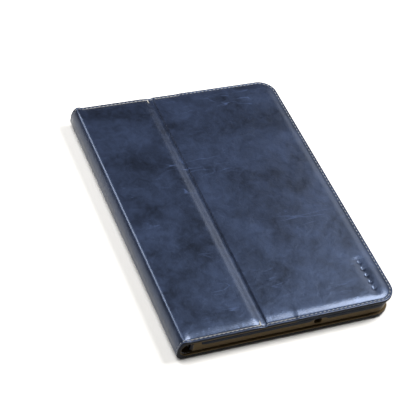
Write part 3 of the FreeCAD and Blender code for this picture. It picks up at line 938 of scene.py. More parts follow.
def effect(name, inputs, outputs):
    """A node group with named sockets; gives its tree, its input node and a way to set outputs."""
    group = bpy.data.node_groups.new(name, "ShaderNodeTree")
    for label, kind, default in inputs:
        socket = group.interface.new_socket(label, in_out="INPUT", socket_type=f"NodeSocket{kind}")
        if default is not None:
            socket.default_value = default
    for label, kind in outputs:
        group.interface.new_socket(label, in_out="OUTPUT", socket_type=f"NodeSocket{kind}")
    tree = Tree(group)
    entry = tree.add("NodeGroupInput").outputs
    leave = tree.add("NodeGroupOutput")

    def give(label, socket):
        tree.put(leave, {label: socket})

    return tree, entry, give


def mottle_effect():
    """Cloudy unevenness at two sizes."""
    tree, entry, give = effect("Mottle", [
        ("Place", "Vector", None), ("Size", "Float", 30.0), ("Contrast", "Float", 0.5)],
        [("Mask", "Float")])
    coarse = tree.noise(entry["Place"], entry["Size"], 4.0, 0.55, 0.6)
    fine = tree.noise(entry["Place"], tree.math("MULTIPLY", entry["Size"], 4.3), 5.0, 0.6, 0.9)
    both = tree.weigh(coarse, 0.62, fine, 0.38)
    centred = tree.math("MULTIPLY", tree.math("SUBTRACT", both, 0.5), entry["Contrast"])
    give("Mask", tree.math("ADD", tree.math("MULTIPLY", centred, 4.0), 0.5, clamp=True))


def scratch_effect():
    """Fine scratches and rubbed streaks that run in a few directions."""
    tree, entry, give = effect("Scratches", [
        ("Place", "Vector", None), ("Length", "Float", 30.0), ("Amount", "Float", 1.0)],
        [("Mask", "Float")])
    total = None
    for turn, seed in ((0.5, 0.0), (1.25, 3.1), (-0.45, 7.7), (2.3, 12.9)):
        moved = tree.add("ShaderNodeVectorMath", {0: entry["Place"], 1: (seed, seed * 0.7, 0.0)},
                         operation="ADD").outputs[0]
        warped = tree.stretch(moved, (1.0, 6.0, 1.0), turn)
        cells = tree.add("ShaderNodeTexNoise", {
            "Vector": warped, "Scale": entry["Length"], "Detail": 2.0, "Distortion": 0.35}).outputs[0]
        ridge = tree.math("ABSOLUTE", tree.math("SUBTRACT", cells, 0.5))
        line = tree.remap(ridge, 0.0, 0.016, 1.0, 0.0)
        patch = tree.remap(tree.noise(moved, 26.0, 3.0), 0.60, 0.74)
        streak = tree.math("MULTIPLY", line, patch)
        total = streak if total is None else tree.math("MAXIMUM", total, streak)
    give("Mask", tree.math("MULTIPLY", total, entry["Amount"], clamp=True))


def grain_effect():
    """Pebbled grain as a height."""
    tree, entry, give = effect("Grain", [
        ("Place", "Vector", None), ("Scale", "Float", 900.0)], [("Height", "Float")])
    pebbles = tree.add("ShaderNodeTexVoronoi", {
        "Vector": entry["Place"], "Scale": entry["Scale"], "Smoothness": 0.7},
        feature="SMOOTH_F1").outputs["Distance"]
    pores = tree.noise(entry["Place"], tree.math("MULTIPLY", entry["Scale"], 1.9), 3.0)
    give("Height", tree.weigh(pebbles, -0.6, pores, 0.5))


def wear_effect():
    """Rubbing near a cut edge, broken up so that it isn't a clean line."""
    tree, entry, give = effect("Edge Wear", [
        ("Place", "Vector", None), ("Edge", "Float", 0.01), ("Width", "Float", 0.0012)],
        [("Mask", "Float"), ("Cut", "Float")])
    uneven = tree.noise(entry["Place"], 260.0, 4.0, 0.6)
    reach = tree.math("MULTIPLY", entry["Width"], tree.math("MULTIPLY", uneven, 2.0))
    rubbed = tree.remap(tree.math("DIVIDE", entry["Edge"], reach), 0.35, 1.0, 1.0, 0.0)
    cut = tree.remap(entry["Edge"], 0.00002, 0.00022, 1.0, 0.0)
    give("Mask", tree.math("MULTIPLY", rubbed, tree.math("SUBTRACT", 1.0, cut), clamp=True))
    give("Cut", cut)


def nap_effect():
    """Short brushed fibres as a mask and a height."""
    tree, entry, give = effect("Nap", [
        ("Place", "Vector", None), ("Scale", "Float", 2600.0)], [("Mask", "Float"), ("Height", "Float")])
    lying = tree.stretch(entry["Place"], (1.0, 0.35, 1.0), 0.4)
    fibres = tree.noise(lying, entry["Scale"], 3.0, 0.65)
    brushed = tree.noise(entry["Place"], tree.math("MULTIPLY", entry["Scale"], 0.035), 4.0, 0.6, 1.2)
    give("Mask", tree.weigh(fibres, 0.45, brushed, 0.55))
    give("Height", fibres)


def finish_material(name, settings):
    """A material with a Principled BSDF; gives its tree and that node."""
    material = bpy.data.materials.new(name)
    material.use_nodes = True
    tree = Tree(material.node_tree)
    surface = tree.add("ShaderNodeBsdfPrincipled", settings)
    tree.add("ShaderNodeOutputMaterial", {"Surface": surface.outputs[0]})
    return material, tree, surface


def use_effect(tree, name, inputs):
    """An effect's group placed in a material."""
    node = tree.add("ShaderNodeGroup", node_tree=bpy.data.node_groups[name])
    tree.put(node, inputs)
    return node.outputs


def stored(tree, name, output):
    """A fact stored on the mesh."""
    return tree.add("ShaderNodeAttribute", attribute_name=name).outputs[output]


def roughened(tree, surface, height, strength, distance):
    """Relief from a height, put on the surface's normal."""
    bump = tree.add("ShaderNodeBump", {"Height": height, "Strength": strength, "Distance": distance})
    tree.put(surface, {"Normal": bump.outputs[0]})


def leather_material(name, colours, shine, contrast, pull, sheen):
    """Waxed pull-up leather: cloudy navy, pale where it was bent or rubbed, dark painted edges."""
    _, tree, surface = finish_material(name, {
        "IOR": 1.5, "Coat Weight": shine, "Coat Roughness": 0.22, "Specular IOR Level": sheen,
        "Specular Tint": (0.40, 0.58, 1.0, 1.0)})
    place = stored(tree, "flat", "Vector")
    edge = stored(tree, "edge", "Fac")
    clouds = use_effect(tree, "Mottle", {"Place": place, "Size": 36.0, "Contrast": contrast})["Mask"]
    scuffs = use_effect(tree, "Scratches", {"Place": place, "Length": 22.0, "Amount": 0.8})["Mask"]
    wear = use_effect(tree, "Edge Wear", {"Place": place, "Edge": edge, "Width": 0.0010})
    pale = tree.weigh(clouds, pull, scuffs, 2.0 * pull)
    pale = tree.math("ADD", pale, tree.math("MULTIPLY", wear["Mask"], 0.5 * pull), clamp=True)
    hue = tree.mix(pale, tuple(colours.leather_deep), tuple(colours.leather_pale))
    hue = tree.mix(wear["Cut"], hue, (0.008, 0.009, 0.013, 1.0))
    tree.put(surface, {"Base Color": hue})
    gloss = tree.math("ADD", 0.28, tree.math("MULTIPLY", clouds, 0.13))
    gloss = tree.math("ADD", gloss, tree.math("MULTIPLY", scuffs, 0.10))
    tree.put(surface, {"Roughness": gloss})
    grain = use_effect(tree, "Grain", {"Place": place, "Scale": 820.0})["Height"]
    soft = tree.noise(place, 150.0, 4.0, 0.55, 0.5)
    height = tree.weigh(grain, 0.35, soft, 3.6)
    height = tree.math("SUBTRACT", height, tree.math("MULTIPLY", scuffs, 0.5))
    roughened(tree, surface, height, 0.45, 0.00016)


def microfibre_material(name, hue, darker):
    """Brushed lining cloth."""
    _, tree, surface = finish_material(name, {
        "Roughness": 0.92, "Sheen Weight": 0.25, "Sheen Roughness": 0.4, "Specular IOR Level": 0.2})
    place = stored(tree, "flat", "Vector")
    nap = use_effect(tree, "Nap", {"Place": place, "Scale": 2400.0})
    shade = tuple(channel * darker for channel in hue[:3]) + (1.0,)
    tree.put(surface, {"Base Color": tree.mix(nap["Mask"], shade, tuple(hue))})
    roughened(tree, surface, nap["Height"], 0.5, 0.00008)


def thread_material(colours):
    """Two-ply waxed thread."""
    _, tree, surface = finish_material("waxed_thread", {"Roughness": 0.6, "Specular IOR Level": 0.4})
    place = stored(tree, "flat", "Vector")
    nap = use_effect(tree, "Nap", {"Place": place, "Scale": 5200.0})
    wear = tree.noise(place, 70.0, 2.0)
    hue = tuple(colours.thread)
    worn = (hue[0] * 0.55, hue[1] * 0.58, hue[2] * 0.64, 1.0)
    share = tree.weigh(nap["Mask"], 0.5, wear, 0.5)
    tree.put(surface, {"Base Color": tree.mix(share, worn, hue)})
    roughened(tree, surface, nap["Height"], 0.4, 0.00005)


def rigid_material(name, settings, dark, light, scale, stretch, bump):
    """A hard or pressed material with streaks or speckles, for parts carried over from the frame."""
    _, tree, surface = finish_material(name, settings)
    place = tree.add("ShaderNodeTexCoord").outputs["Object"]
    streaked = tree.stretch(place, stretch)
    speckle = tree.noise(streaked, scale, 4.0, 0.6)
    clouds = use_effect(tree, "Mottle", {"Place": place, "Size": 60.0, "Contrast": 0.4})["Mask"]
    share = tree.weigh(speckle, 0.7, clouds, 0.3)
    tree.put(surface, {"Base Color": tree.mix(share, dark, light)})
    roughened(tree, surface, speckle, bump, 0.0001)


def woven_material(name, dark, light, pitch):
    """A fine plain weave."""
    _, tree, surface = finish_material(name, {"Roughness": 0.85, "Sheen Weight": 0.15})
    place = tree.add("ShaderNodeTexCoord").outputs["Object"]
    threads = []
    for direction in ("X", "Y"):
        wave = tree.add("ShaderNodeTexWave", {"Vector": place, "Scale": 1 / (pitch * 20)},
                        bands_direction=direction)
        threads.append(wave.outputs["Fac"])
    over = tree.math("MAXIMUM", *threads)
    nap = use_effect(tree, "Nap", {"Place": place, "Scale": 2200.0})["Mask"]
    share = tree.weigh(over, 0.6, nap, 0.4)
    tree.put(surface, {"Base Color": tree.mix(share, dark, light)})
    roughened(tree, surface, over, 0.6, 0.00008)


def dress(piece, material, slot):
    """Give a new piece its material and its slot in the record."""
    piece.data.materials.clear()
    piece.data.materials.append(bpy.data.materials[material])
    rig.slot(piece, slot)


def paint_cut_edge(piece):
    """Give the faces along a cut edge the edge paint."""
    mesh = piece.data
    mesh.materials.append(bpy.data.materials["edge_paint"])
    edge = np.empty(len(mesh.vertices), np.float32)
    mesh.attributes["edge"].data.foreach_get("value", edge)
    for face in mesh.polygons:
        if edge[list(face.vertices)].max() < PAINTED_EDGE:
            face.material_index = 1


def dress_node(name, material):
    """Give a part carried over from the frame its material."""
    mesh = frame["nodes"][name].data
    mesh.materials.clear()
    mesh.materials.append(bpy.data.materials[material])


# ---------------------------------------------------------------- operators
class FOLIO_OT_finishes(bpy.types.Operator):
    """Make every material and shared effect"""
    bl_idname = "folio.finishes"
    bl_label = "Finishes"

    def execute(self, context):
        colours = context.scene.folio_colours
        for make in (mottle_effect, scratch_effect, grain_effect, wear_effect, nap_effect):
            make()
        leather_material("waxed_navy", colours, shine=0.24, contrast=0.66, pull=0.40, sheen=0.5)
        # A darker, duller copy of the navy leather, with none of its paler pulled-up tones: painted shade for the thin
        # leather of the pocket, bezel and flap, which lie under the front cover.
        leather_material("thin_navy", colours, shine=0.0, contrast=0.45, pull=0.0, sheen=0.08)
        microfibre_material("brushed_olive", colours.microfibre, darker=0.55)
        thread_material(colours)
        woven_material("woven_facing", (0.02, 0.022, 0.03, 1), (0.05, 0.055, 0.07, 1), 0.4 * MM)
        for name, settings, dark, light, scale, stretch, bump in RIGID_FINISHES:
            rigid_material(name, settings, (*dark, 1), (*light, 1), scale, stretch, bump)
        return {"FINISHED"}


class FOLIO_OT_hide(bpy.types.Operator):
    """Make the outer leather from the back's free edge round the spine to the front's free edge"""
    bl_idname = "folio.hide"
    bl_label = "Outer leather"

    def execute(self, context):
        wrap = Wrap(context.scene.folio_shape)
        back, spine, front = hide_stations(wrap)
        hole, fine = camera_hole(wrap)
        back_piece = hide_piece(wrap, "leather_back", back, [back[-1]], hole, near_fine=fine)
        spine_piece = hide_piece(wrap, "leather_spine", spine, [spine[0], spine[-1]], coarse=2.0 * MM)
        ornament = (HALF_LENGTH + ORNAMENT_Y - 18 * MM, HALF_LENGTH + ORNAMENT_Y + 18 * MM, 0.6 * MM)
        front_piece = hide_piece(wrap, "leather_front", front, [front[0]], near_fine=ornament,
                                 coarse=2.0 * MM)
        for piece in (back_piece, spine_piece, front_piece):
            dress(piece, "waxed_navy", "navy_leather")
            paint_cut_edge(piece)
        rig.replaces(back_piece, "back_cover_leather", "spine_leather")
        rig.replaces(front_piece, "front_inner_leather", "front_outer_leather")
        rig.blend(back_piece, "back_cover", "spine", *SPINE_BEND)
        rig.blend(spine_piece, "spine", "front_inner", *SHOULDER_BEND)
        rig.blend(front_piece, "front_inner", "front_outer", *CREASE_BEND)
        for piece, run in ((back_piece, back), (spine_piece, spine), (front_piece, front)):
            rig.sheet(piece, flat=(run[-1] - run[0], 2 * HALF_LENGTH), held="stretched",
                     rests_on=["back_cover_board", "front_outer_board"])
        return {"FINISHED"}


class FOLIO_OT_lining(bpy.types.Operator):
    """Make the microfibre lining of the back, the spine and the front up to the pocket"""
    bl_idname = "folio.lining"
    bl_label = "Lining"

    def execute(self, context):
        wrap = Wrap(context.scene.folio_shape)
        back, spine, front = hide_stations(wrap, LINING_INSET)
        front = front[front < wrap.front(POCKET_LOW.x)]
        front = np.append(front, wrap.front(POCKET_LOW.x))
        hole, fine = camera_hole(wrap)
        back_piece = lining_piece(wrap, "lining_back", back, hole, fine)
        spine_piece = lining_piece(wrap, "lining_spine", spine)
        front_piece = lining_piece(wrap, "lining_front", front)
        for piece, run in ((back_piece, back), (spine_piece, spine), (front_piece, front)):
            dress(piece, "brushed_olive", "olive_microfibre")
            flat = np.interp(run, wrap.outer_pins, wrap.inner_pins)
            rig.sheet(piece, flat=(flat[-1] - flat[0], 2 * (HALF_LENGTH - LINING_INSET)), held="stretched",
                     rests_on=["back_cover_board", "front_inner_board"])
        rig.replaces(back_piece, "back_cover_lining", "spine_lining")
        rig.replaces(front_piece, "front_inner_lining", "front_outer_lining")
        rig.blend(back_piece, "back_cover", "spine", *SPINE_BEND)
        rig.blend(spine_piece, "spine", "front_inner", *SHOULDER_BEND)
        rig.blend(front_piece, "front_inner", "front_outer", *CREASE_BEND)
        return {"FINISHED"}


class FOLIO_OT_pocket(bpy.types.Operator):
    """Make the document pocket inside the front cover, with a folded hem at its mouth"""
    bl_idname = "folio.pocket"
    bl_label = "Document pocket"

    def execute(self, context):
        wrap = Wrap(context.scene.folio_shape)
        mouth = wrap.front(POCKET_LOW.x)
        corner = np.array(corner_stations(wrap.radius - LINING_INSET))
        run = graded(mouth, wrap.length - wrap.radius, [
            (mouth, 0.15 * MM), (mouth + 1.5 * MM, 0.4 * MM), (mouth + 5 * MM, 0.8 * MM),
            (mouth + 12 * MM, 2.5 * MM)])
        stations = np.concatenate([run, wrap.length - LINING_INSET - corner[-2::-1]])
        along, across = flat_grid(wrap, stations, inset=LINING_INSET)
        from_mouth = along - mouth
        edge = np.minimum(wrap.edge_distance(along, across, LINING_INSET), from_mouth)
        x = along - wrap.length + FREE_X
        hem = smooth((3.2 * MM - from_mouth) / (0.7 * MM))
        shown_z = (POCKET_LOW.z - 0.12 * MM * hem + round_over(edge, 0.4 * MM, 0.28 * MM)
                   + 0.12 * MM * hump(from_mouth - HEM_SEAM, 0.3 * MM)
                   + 0.05 * MM * waviness(along, across, 21, 12 * MM, 50 * MM))
        shown = np.stack([x, across, shown_z], axis=-1)
        hidden = np.stack([x, across, np.full_like(x, POCKET_HIGH.z)], axis=-1)
        piece = solid_from_sheets("pocket", shown, hidden, facts=facts_of(along, across, edge))
        dress(piece, "thin_navy", "navy_leather")
        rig.replaces(piece, "pocket_leather")
        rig.ride(piece, "front_outer")
        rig.sheet(piece, flat=(POCKET_HIGH.x - POCKET_LOW.x, POCKET_HIGH.y - POCKET_LOW.y),
                 held="stretched", rests_on=["front_outer_board"])
        return {"FINISHED"}


class FOLIO_OT_seams(bpy.types.Operator):
    """Sew the covers and the spine, outside and inside, and the pocket's mouth"""
    bl_idname = "folio.seams"
    bl_label = "Seams of the covers"

    def execute(self, context):
        wrap = Wrap(context.scene.folio_shape)
        seams = context.scene.folio_seams

        def outside(u, v, height):
            return wrap.place(u, v, outside_sink(wrap, u, v) - height)

        def inside(u, v, height):
            facing = wrap.place_lining(u, v, FACING + height)
            x = u - wrap.length + FREE_X
            pocket = np.stack([x, v, POCKET_LOW.z - height], axis=-1)
            return np.where((x > POCKET_LOW.x)[:, None], pocket, facing)

        rigid = wrap.front(RIGID_X)
        blends = (("back", 0, wrap.spine_middle, "back_cover", "spine", SPINE_BEND),
                  ("spine", wrap.spine_middle, rigid, "spine", "front_inner", SHOULDER_BEND),
                  ("front", rigid, wrap.length, "front_inner", "front_outer", CREASE_BEND))
        nodes = {"back": ("back_cover_stitching", "spine_stitching"), "spine": (),
                 "front": ("front_inner_stitching", "front_outer_stitching")}
        for part, low, high, first, second, bend in blends:
            places = perimeter_places(wrap, seams, low, high)
            pieces = [sew("outside", places, outside, seams)]
            inner_low = max(low, wrap.back(SPINE_X + SPINE_MARGIN))
            inner = [place for place in places if place[0] >= inner_low]
            if inner:
                pieces.append(sew("inside", inner, inside, seams))
            piece = join_pieces(f"stitches_{part}", pieces)
            dress(piece, "waxed_thread", "grey_thread")
            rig.replaces(piece, *nodes[part])
            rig.blend(piece, first, second, *bend)

        mouth = wrap.front(POCKET_LOW.x) + HEM_SEAM
        reach = HALF_LENGTH - 5 * MM
        count = round(2 * reach / seams.pitch)
        places = [(mouth, -reach + (index + 0.5) * 2 * reach / count, math.pi / 2) for index in range(count)]
        hem = sew("stitches_pocket", places, inside, seams)
        dress(hem, "waxed_thread", "grey_thread")
        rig.replaces(hem, "pocket_stitching")
        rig.ride(hem, "front_outer")
        return {"FINISHED"}


class HolderPath:
    """The line round the tablet: near side, free side, far side, and back along the spine side."""

    def __init__(self, low, high, radius):
        self.low, self.high, self.radius = low, high, radius
        self.side = high.x - low.x - radius
        self.end = 2 * (high.y - radius)
        self.corner = radius * math.pi / 2
        self.length = 2 * self.side + self.end + 2 * self.corner
        self.near_end = self.side
        self.free_start = self.side + self.corner
        self.far_start = self.free_start + self.end + self.corner

    def at(self, measure):
        """Point and outward direction at each measure along the path."""
        radius, high = self.radius, self.high
        free_end = self.free_start + self.end
        x = np.empty_like(measure)
        y = np.empty_like(measure)
        angle = np.empty_like(measure)
        near, far = measure <= self.near_end, measure >= self.far_start
        free = (measure >= self.free_start) & (measure <= free_end)
        x[near], y[near], angle[near] = self.low.x + measure[near], -high.y, -math.pi / 2
        x[free], angle[free] = high.x, 0.0
        y[free] = -high.y + radius + measure[free] - self.free_start
        x[far], y[far] = high.x - radius - (measure[far] - self.far_start), high.y
        angle[far] = math.pi / 2
        for start, end, heading, centre_y in ((self.near_end, self.free_start, -math.pi / 2, -high.y + radius),
                                              (free_end, self.far_start, 0.0, high.y - radius)):
            bend = (measure > start) & (measure < end)
            angle[bend] = heading + (measure[bend] - start) / radius
            x[bend] = high.x - radius + radius * np.cos(angle[bend])
            y[bend] = centre_y + radius * np.sin(angle[bend])
        return x, y, np.cos(angle), np.sin(angle)

    def slots(self):
        """Spans of the slots, measured along the path."""
        near = [(low - self.low.x, high - self.low.x) for low, high in NEAR_SLOTS]
        free = [(self.free_start + self.high.y - self.radius + low,
                 self.free_start + self.high.y - self.radius + high) for low, high in FREE_SLOTS]
        turned = self.far_start + self.high.x - self.radius
        far = [(turned - high, turned - low) for low, high in FAR_SLOTS]
        return near + free + far


def slot_core(measure, span):
    """The nearest place on a slot's straight middle line."""
    return np.clip(measure, span[0] + SLOT_HALF, span[1] - SLOT_HALF)


def stadium_gap(measure, height, span):
    """Distance outside a slot with round ends, negative inside it."""
    return np.hypot(measure - slot_core(measure, span), height - SLOT_MIDDLE) - SLOT_HALF


class FOLIO_OT_wall(bpy.types.Operator):
    """Make the holder's padded side wall with its slots"""
    bl_idname = "folio.wall"
    bl_label = "Side wall"

    def execute(self, context):
        path = HolderPath(WALL_LOW, WALL_HIGH, WALL_RADIUS)
        places = np.arange(0, path.length, 1.6 * MM)
        ends = [np.arange(low - 3 * MM, high + 3 * MM, 0.45 * MM) for low, high in path.slots()]
        bends = [np.linspace(path.near_end, path.free_start, 22),
                 np.linspace(path.free_start + path.end, path.far_start, 22)]
        places = np.unique(np.round(np.concatenate([places, *ends, *bends, [path.length]]), 5))
        places = places[(places >= 0) & (places <= path.length)]
        low, high = WALL_LOW.z, WALL_HIGH.z
        rows = np.concatenate([low + np.array([0, 0.15, 0.4, 0.8]) * MM,
                               np.arange(SLOT_FLOOR - 0.4 * MM, SLOT_ROOF + 0.5 * MM, 0.35 * MM),
                               high - np.array([0.9, 0.5, 0.2, 0]) * MM])
        measure, height = np.meshgrid(places, rows, indexing="ij")
        kept = np.ones((len(places) - 1, len(rows) - 1), bool)
        for span in path.slots():
            whole, rim = cut_out(stadium_gap(measure, height, span) < 0)
            kept &= whole
            core = slot_core(measure, span)
            reach = np.maximum(np.hypot(measure - core, height - SLOT_MIDDLE), 1e-9)
            measure = np.where(rim, core + (measure - core) * SLOT_HALF / reach, measure)
            height = np.where(rim, SLOT_MIDDLE + (height - SLOT_MIDDLE) * SLOT_HALF / reach, height)
        x, y, out_x, out_y = path.at(measure.ravel())
        x, y, out_x, out_y = (value.reshape(measure.shape) for value in (x, y, out_x, out_y))
        share = (height - low) / (high - low)
        corner = np.minimum(share, 1 - share) * (high - low)
        pad = 0.12 * MM * waviness(measure, height * 3, 31, 10 * MM, 60 * MM)
        dip = np.zeros_like(measure)
        for span in path.slots():
            dip += 0.35 * MM * (1 - smooth(stadium_gap(measure, height, span) / (1.1 * MM)))
        outer = pad - 0.2 * MM - dip - round_over(corner, 0.8 * MM, 0.7 * MM)
        inner = -WALL_THICK + 0.25 * MM + dip * 0.6 + round_over(corner, 0.8 * MM, 0.5 * MM)
        shown = np.stack([x + out_x * outer, y + out_y * outer, height], axis=-1)
        behind = np.stack([x + out_x * inner, y + out_y * inner, height], axis=-1)
        piece = solid_from_sheets("side_wall", shown, behind, kept, facts_of(measure, height))
        dress(piece, "brushed_olive", "olive_microfibre")
        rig.replaces(piece, "holder_side_wall")
        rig.ride(piece, "back_cover")
        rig.padded(piece, fill=0.9)
        return {"FINISHED"}


def ring_outline(low, high, radius, pieces):
    """Points and outward directions round a rectangle with round corners, from the spine side's middle."""
    points = []
    corners = [((low.x + radius, low.y + radius), math.pi),
               ((high.x - radius, low.y + radius), 1.5 * math.pi),
               ((high.x - radius, high.y - radius), 0.0),
               ((low.x + radius, high.y - radius), math.pi / 2)]
    for (x, y), start in corners:
        for step in range(pieces + 1):
            angle = start + math.pi / 2 * step / pieces
            points.append((x + radius * math.cos(angle), y + radius * math.sin(angle),
                           math.cos(angle), math.sin(angle)))
    middle = (low.x, (low.y + high.y) / 2, -1.0, 0.0)
    return [middle, *points, middle]


def filled_outline(outline, counts):
    """The same outline with each run divided into a stated number of steps."""
    rows = []
    for (start, end), count in zip(zip(outline, outline[1:]), counts):
        for step in range(count):
            rows.append(tuple(a + (b - a) * step / count for a, b in zip(start, end)))
    rows.append(outline[-1])
    return np.array(rows)


class FOLIO_OT_bezel(bpy.types.Operator):
    """Make the leather frame over the tablet, turned down over the side wall"""
    bl_idname = "folio.bezel"
    bl_label = "Bezel"

    def execute(self, context):
        pieces = 8
        outer = ring_outline(BEZEL_LOW, BEZEL_HIGH, WALL_RADIUS, pieces)
        inner = ring_outline(WINDOW_LOW, WINDOW_HIGH, WINDOW_RADIUS, pieces)
        counts = [1] * (len(outer) - 1)
        for index, count in zip((0, pieces + 1, 2 * pieces + 2, 3 * pieces + 3, 4 * pieces + 4),
                                (40, 150, 110, 150, 40)):
            counts[index] = count
        outer, inner = filled_outline(outer, counts), filled_outline(inner, counts)
        top = BEZEL_HIGH.z
        shares = [0, 0.01, 0.025, 0.05, *np.linspace(0.08, 0.92, 22), 0.955, 0.98, 0.99, 1.0]
        on_spine = outer[:, 0] < WALL_LOW.x + 0.4 * MM
        skirt_low = np.where(on_spine, BEZEL_LOW.z, SKIRT_LOW)
        for spans, axis, run in ((NEAR_SLOTS, 0, outer[:, 1] < -BEZEL_HIGH.y + 1 * MM),
                                 (FAR_SLOTS, 0, outer[:, 1] > BEZEL_HIGH.y - 1 * MM),
                                 (FREE_SLOTS, 1, outer[:, 0] > BEZEL_HIGH.x - 1 * MM)):
            for low, high in spans:
                out = np.maximum(low - outer[:, axis], outer[:, axis] - high)
                lifted = SKIRT_LOW + 1.7 * MM * smooth((4 * MM - out) / (3 * MM))
                skirt_low = np.where(run, np.maximum(skirt_low, lifted), skirt_low)
        shown, hidden, flats = [], [], []
        for share in shares:
            x = inner[:, 0] + (outer[:, 0] - inner[:, 0]) * share
            y = inner[:, 1] + (outer[:, 1] - inner[:, 1]) * share
            reach = np.hypot(outer[:, 0] - inner[:, 0], outer[:, 1] - inner[:, 1])
            from_window = reach * share
            from_rim = reach * (1 - share)
            drop = round_over(from_window, 0.6 * MM, 0.5 * MM)
            drop += round_over(from_rim, 0.9 * MM, 0.55 * MM)
            drop += 0.15 * MM * hump(from_window - WINDOW_SEAM, 0.4 * MM)
            shown.append(np.stack([x, y, top - drop], axis=-1))
            hidden.append(np.stack([x, y, np.full_like(x, BEZEL_LOW.z)], axis=-1))
            flats.append(np.stack([x, y], axis=-1))
        for share in (0.08, 0.2, 0.4, 0.6, 0.8, 0.93, 1.0):
            skirt_top = top - 0.55 * MM
            z = skirt_top - (skirt_top - skirt_low) * share
            proud = 0.5 * MM * np.sin(np.clip(share * 4, 0, 1) * math.pi / 2) * ~on_spine
            tuck = 0.35 * MM * smooth((share - 0.85) / 0.15)
            out = proud - tuck
            shown.append(np.stack([outer[:, 0] + outer[:, 2] * out,
                                   outer[:, 1] + outer[:, 3] * out, z], axis=-1))
            back = out - 0.5 * MM
            lift = np.minimum(z, BEZEL_LOW.z)
            hidden.append(np.stack([outer[:, 0] + outer[:, 2] * back, outer[:, 1] + outer[:, 3] * back, lift],
                                   axis=-1))
            flats.append(np.stack([outer[:, 0] + outer[:, 2] * (top - z),
                                   outer[:, 1] + outer[:, 3] * (top - z)], axis=-1))
        shown, hidden, flats = (np.array(rows).transpose(1, 0, 2) for rows in (shown, hidden, flats))
        kept = np.ones((shown.shape[0] - 1, shown.shape[1] - 1), bool)
        for centre, radius in (BUTTON_HOLE, LENS_HOLE):
            for sheet in (shown, hidden):
                sheet[..., 0], sheet[..., 1], whole = round_hole(sheet[..., 0], sheet[..., 1], centre, radius)
                kept &= whole
        unworn = np.full(flats.shape[:2], 6 * MM)
        piece = solid_from_sheets("bezel", shown, hidden, kept,
                                  facts_of(flats[..., 0], flats[..., 1], unworn))
        # The bezel, and its skirt under the front cover's edge, take the darker copy of the navy leather as painted
        # shade.
        dress(piece, "thin_navy", "navy_leather")
        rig.replaces(piece, "bezel_leather")
        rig.ride(piece, "back_cover")

        seams = context.scene.folio_seams
        margin = Vector((WINDOW_SEAM, WINDOW_SEAM, 0))
        sewn = ring_outline(WINDOW_LOW - margin, WINDOW_HIGH + margin, WINDOW_RADIUS + WINDOW_SEAM, 6)
        places = even_places(sewn, seams.pitch)

        def on_top(u, v, height):
            return np.stack([u, v, top - 0.15 * MM + height], axis=-1)

        thread = sew("stitches_bezel", places, on_top, seams)
        dress(thread, "waxed_thread", "grey_thread")
        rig.replaces(thread, "bezel_stitching")
        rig.ride(thread, "back_cover")
        return {"FINISHED"}


def even_places(outline, pitch):
    """Evenly spaced seam places along a closed outline."""
    points = np.array([(x, y) for x, y, _, _ in outline])
    steps = np.hypot(*np.diff(points, axis=0).T)
    measure = np.concatenate([[0], np.cumsum(steps)])
    count = round(measure[-1] / pitch)
    places = []
    for index in range(count):
        here = (index + 0.5) * measure[-1] / count
        x = np.interp([here - 0.1 * MM, here, here + 0.1 * MM], measure, points[:, 0])
        y = np.interp([here - 0.1 * MM, here, here + 0.1 * MM], measure, points[:, 1])
        places.append((x[1], y[1], math.atan2(y[2] - y[0], x[2] - x[0])))
    return places


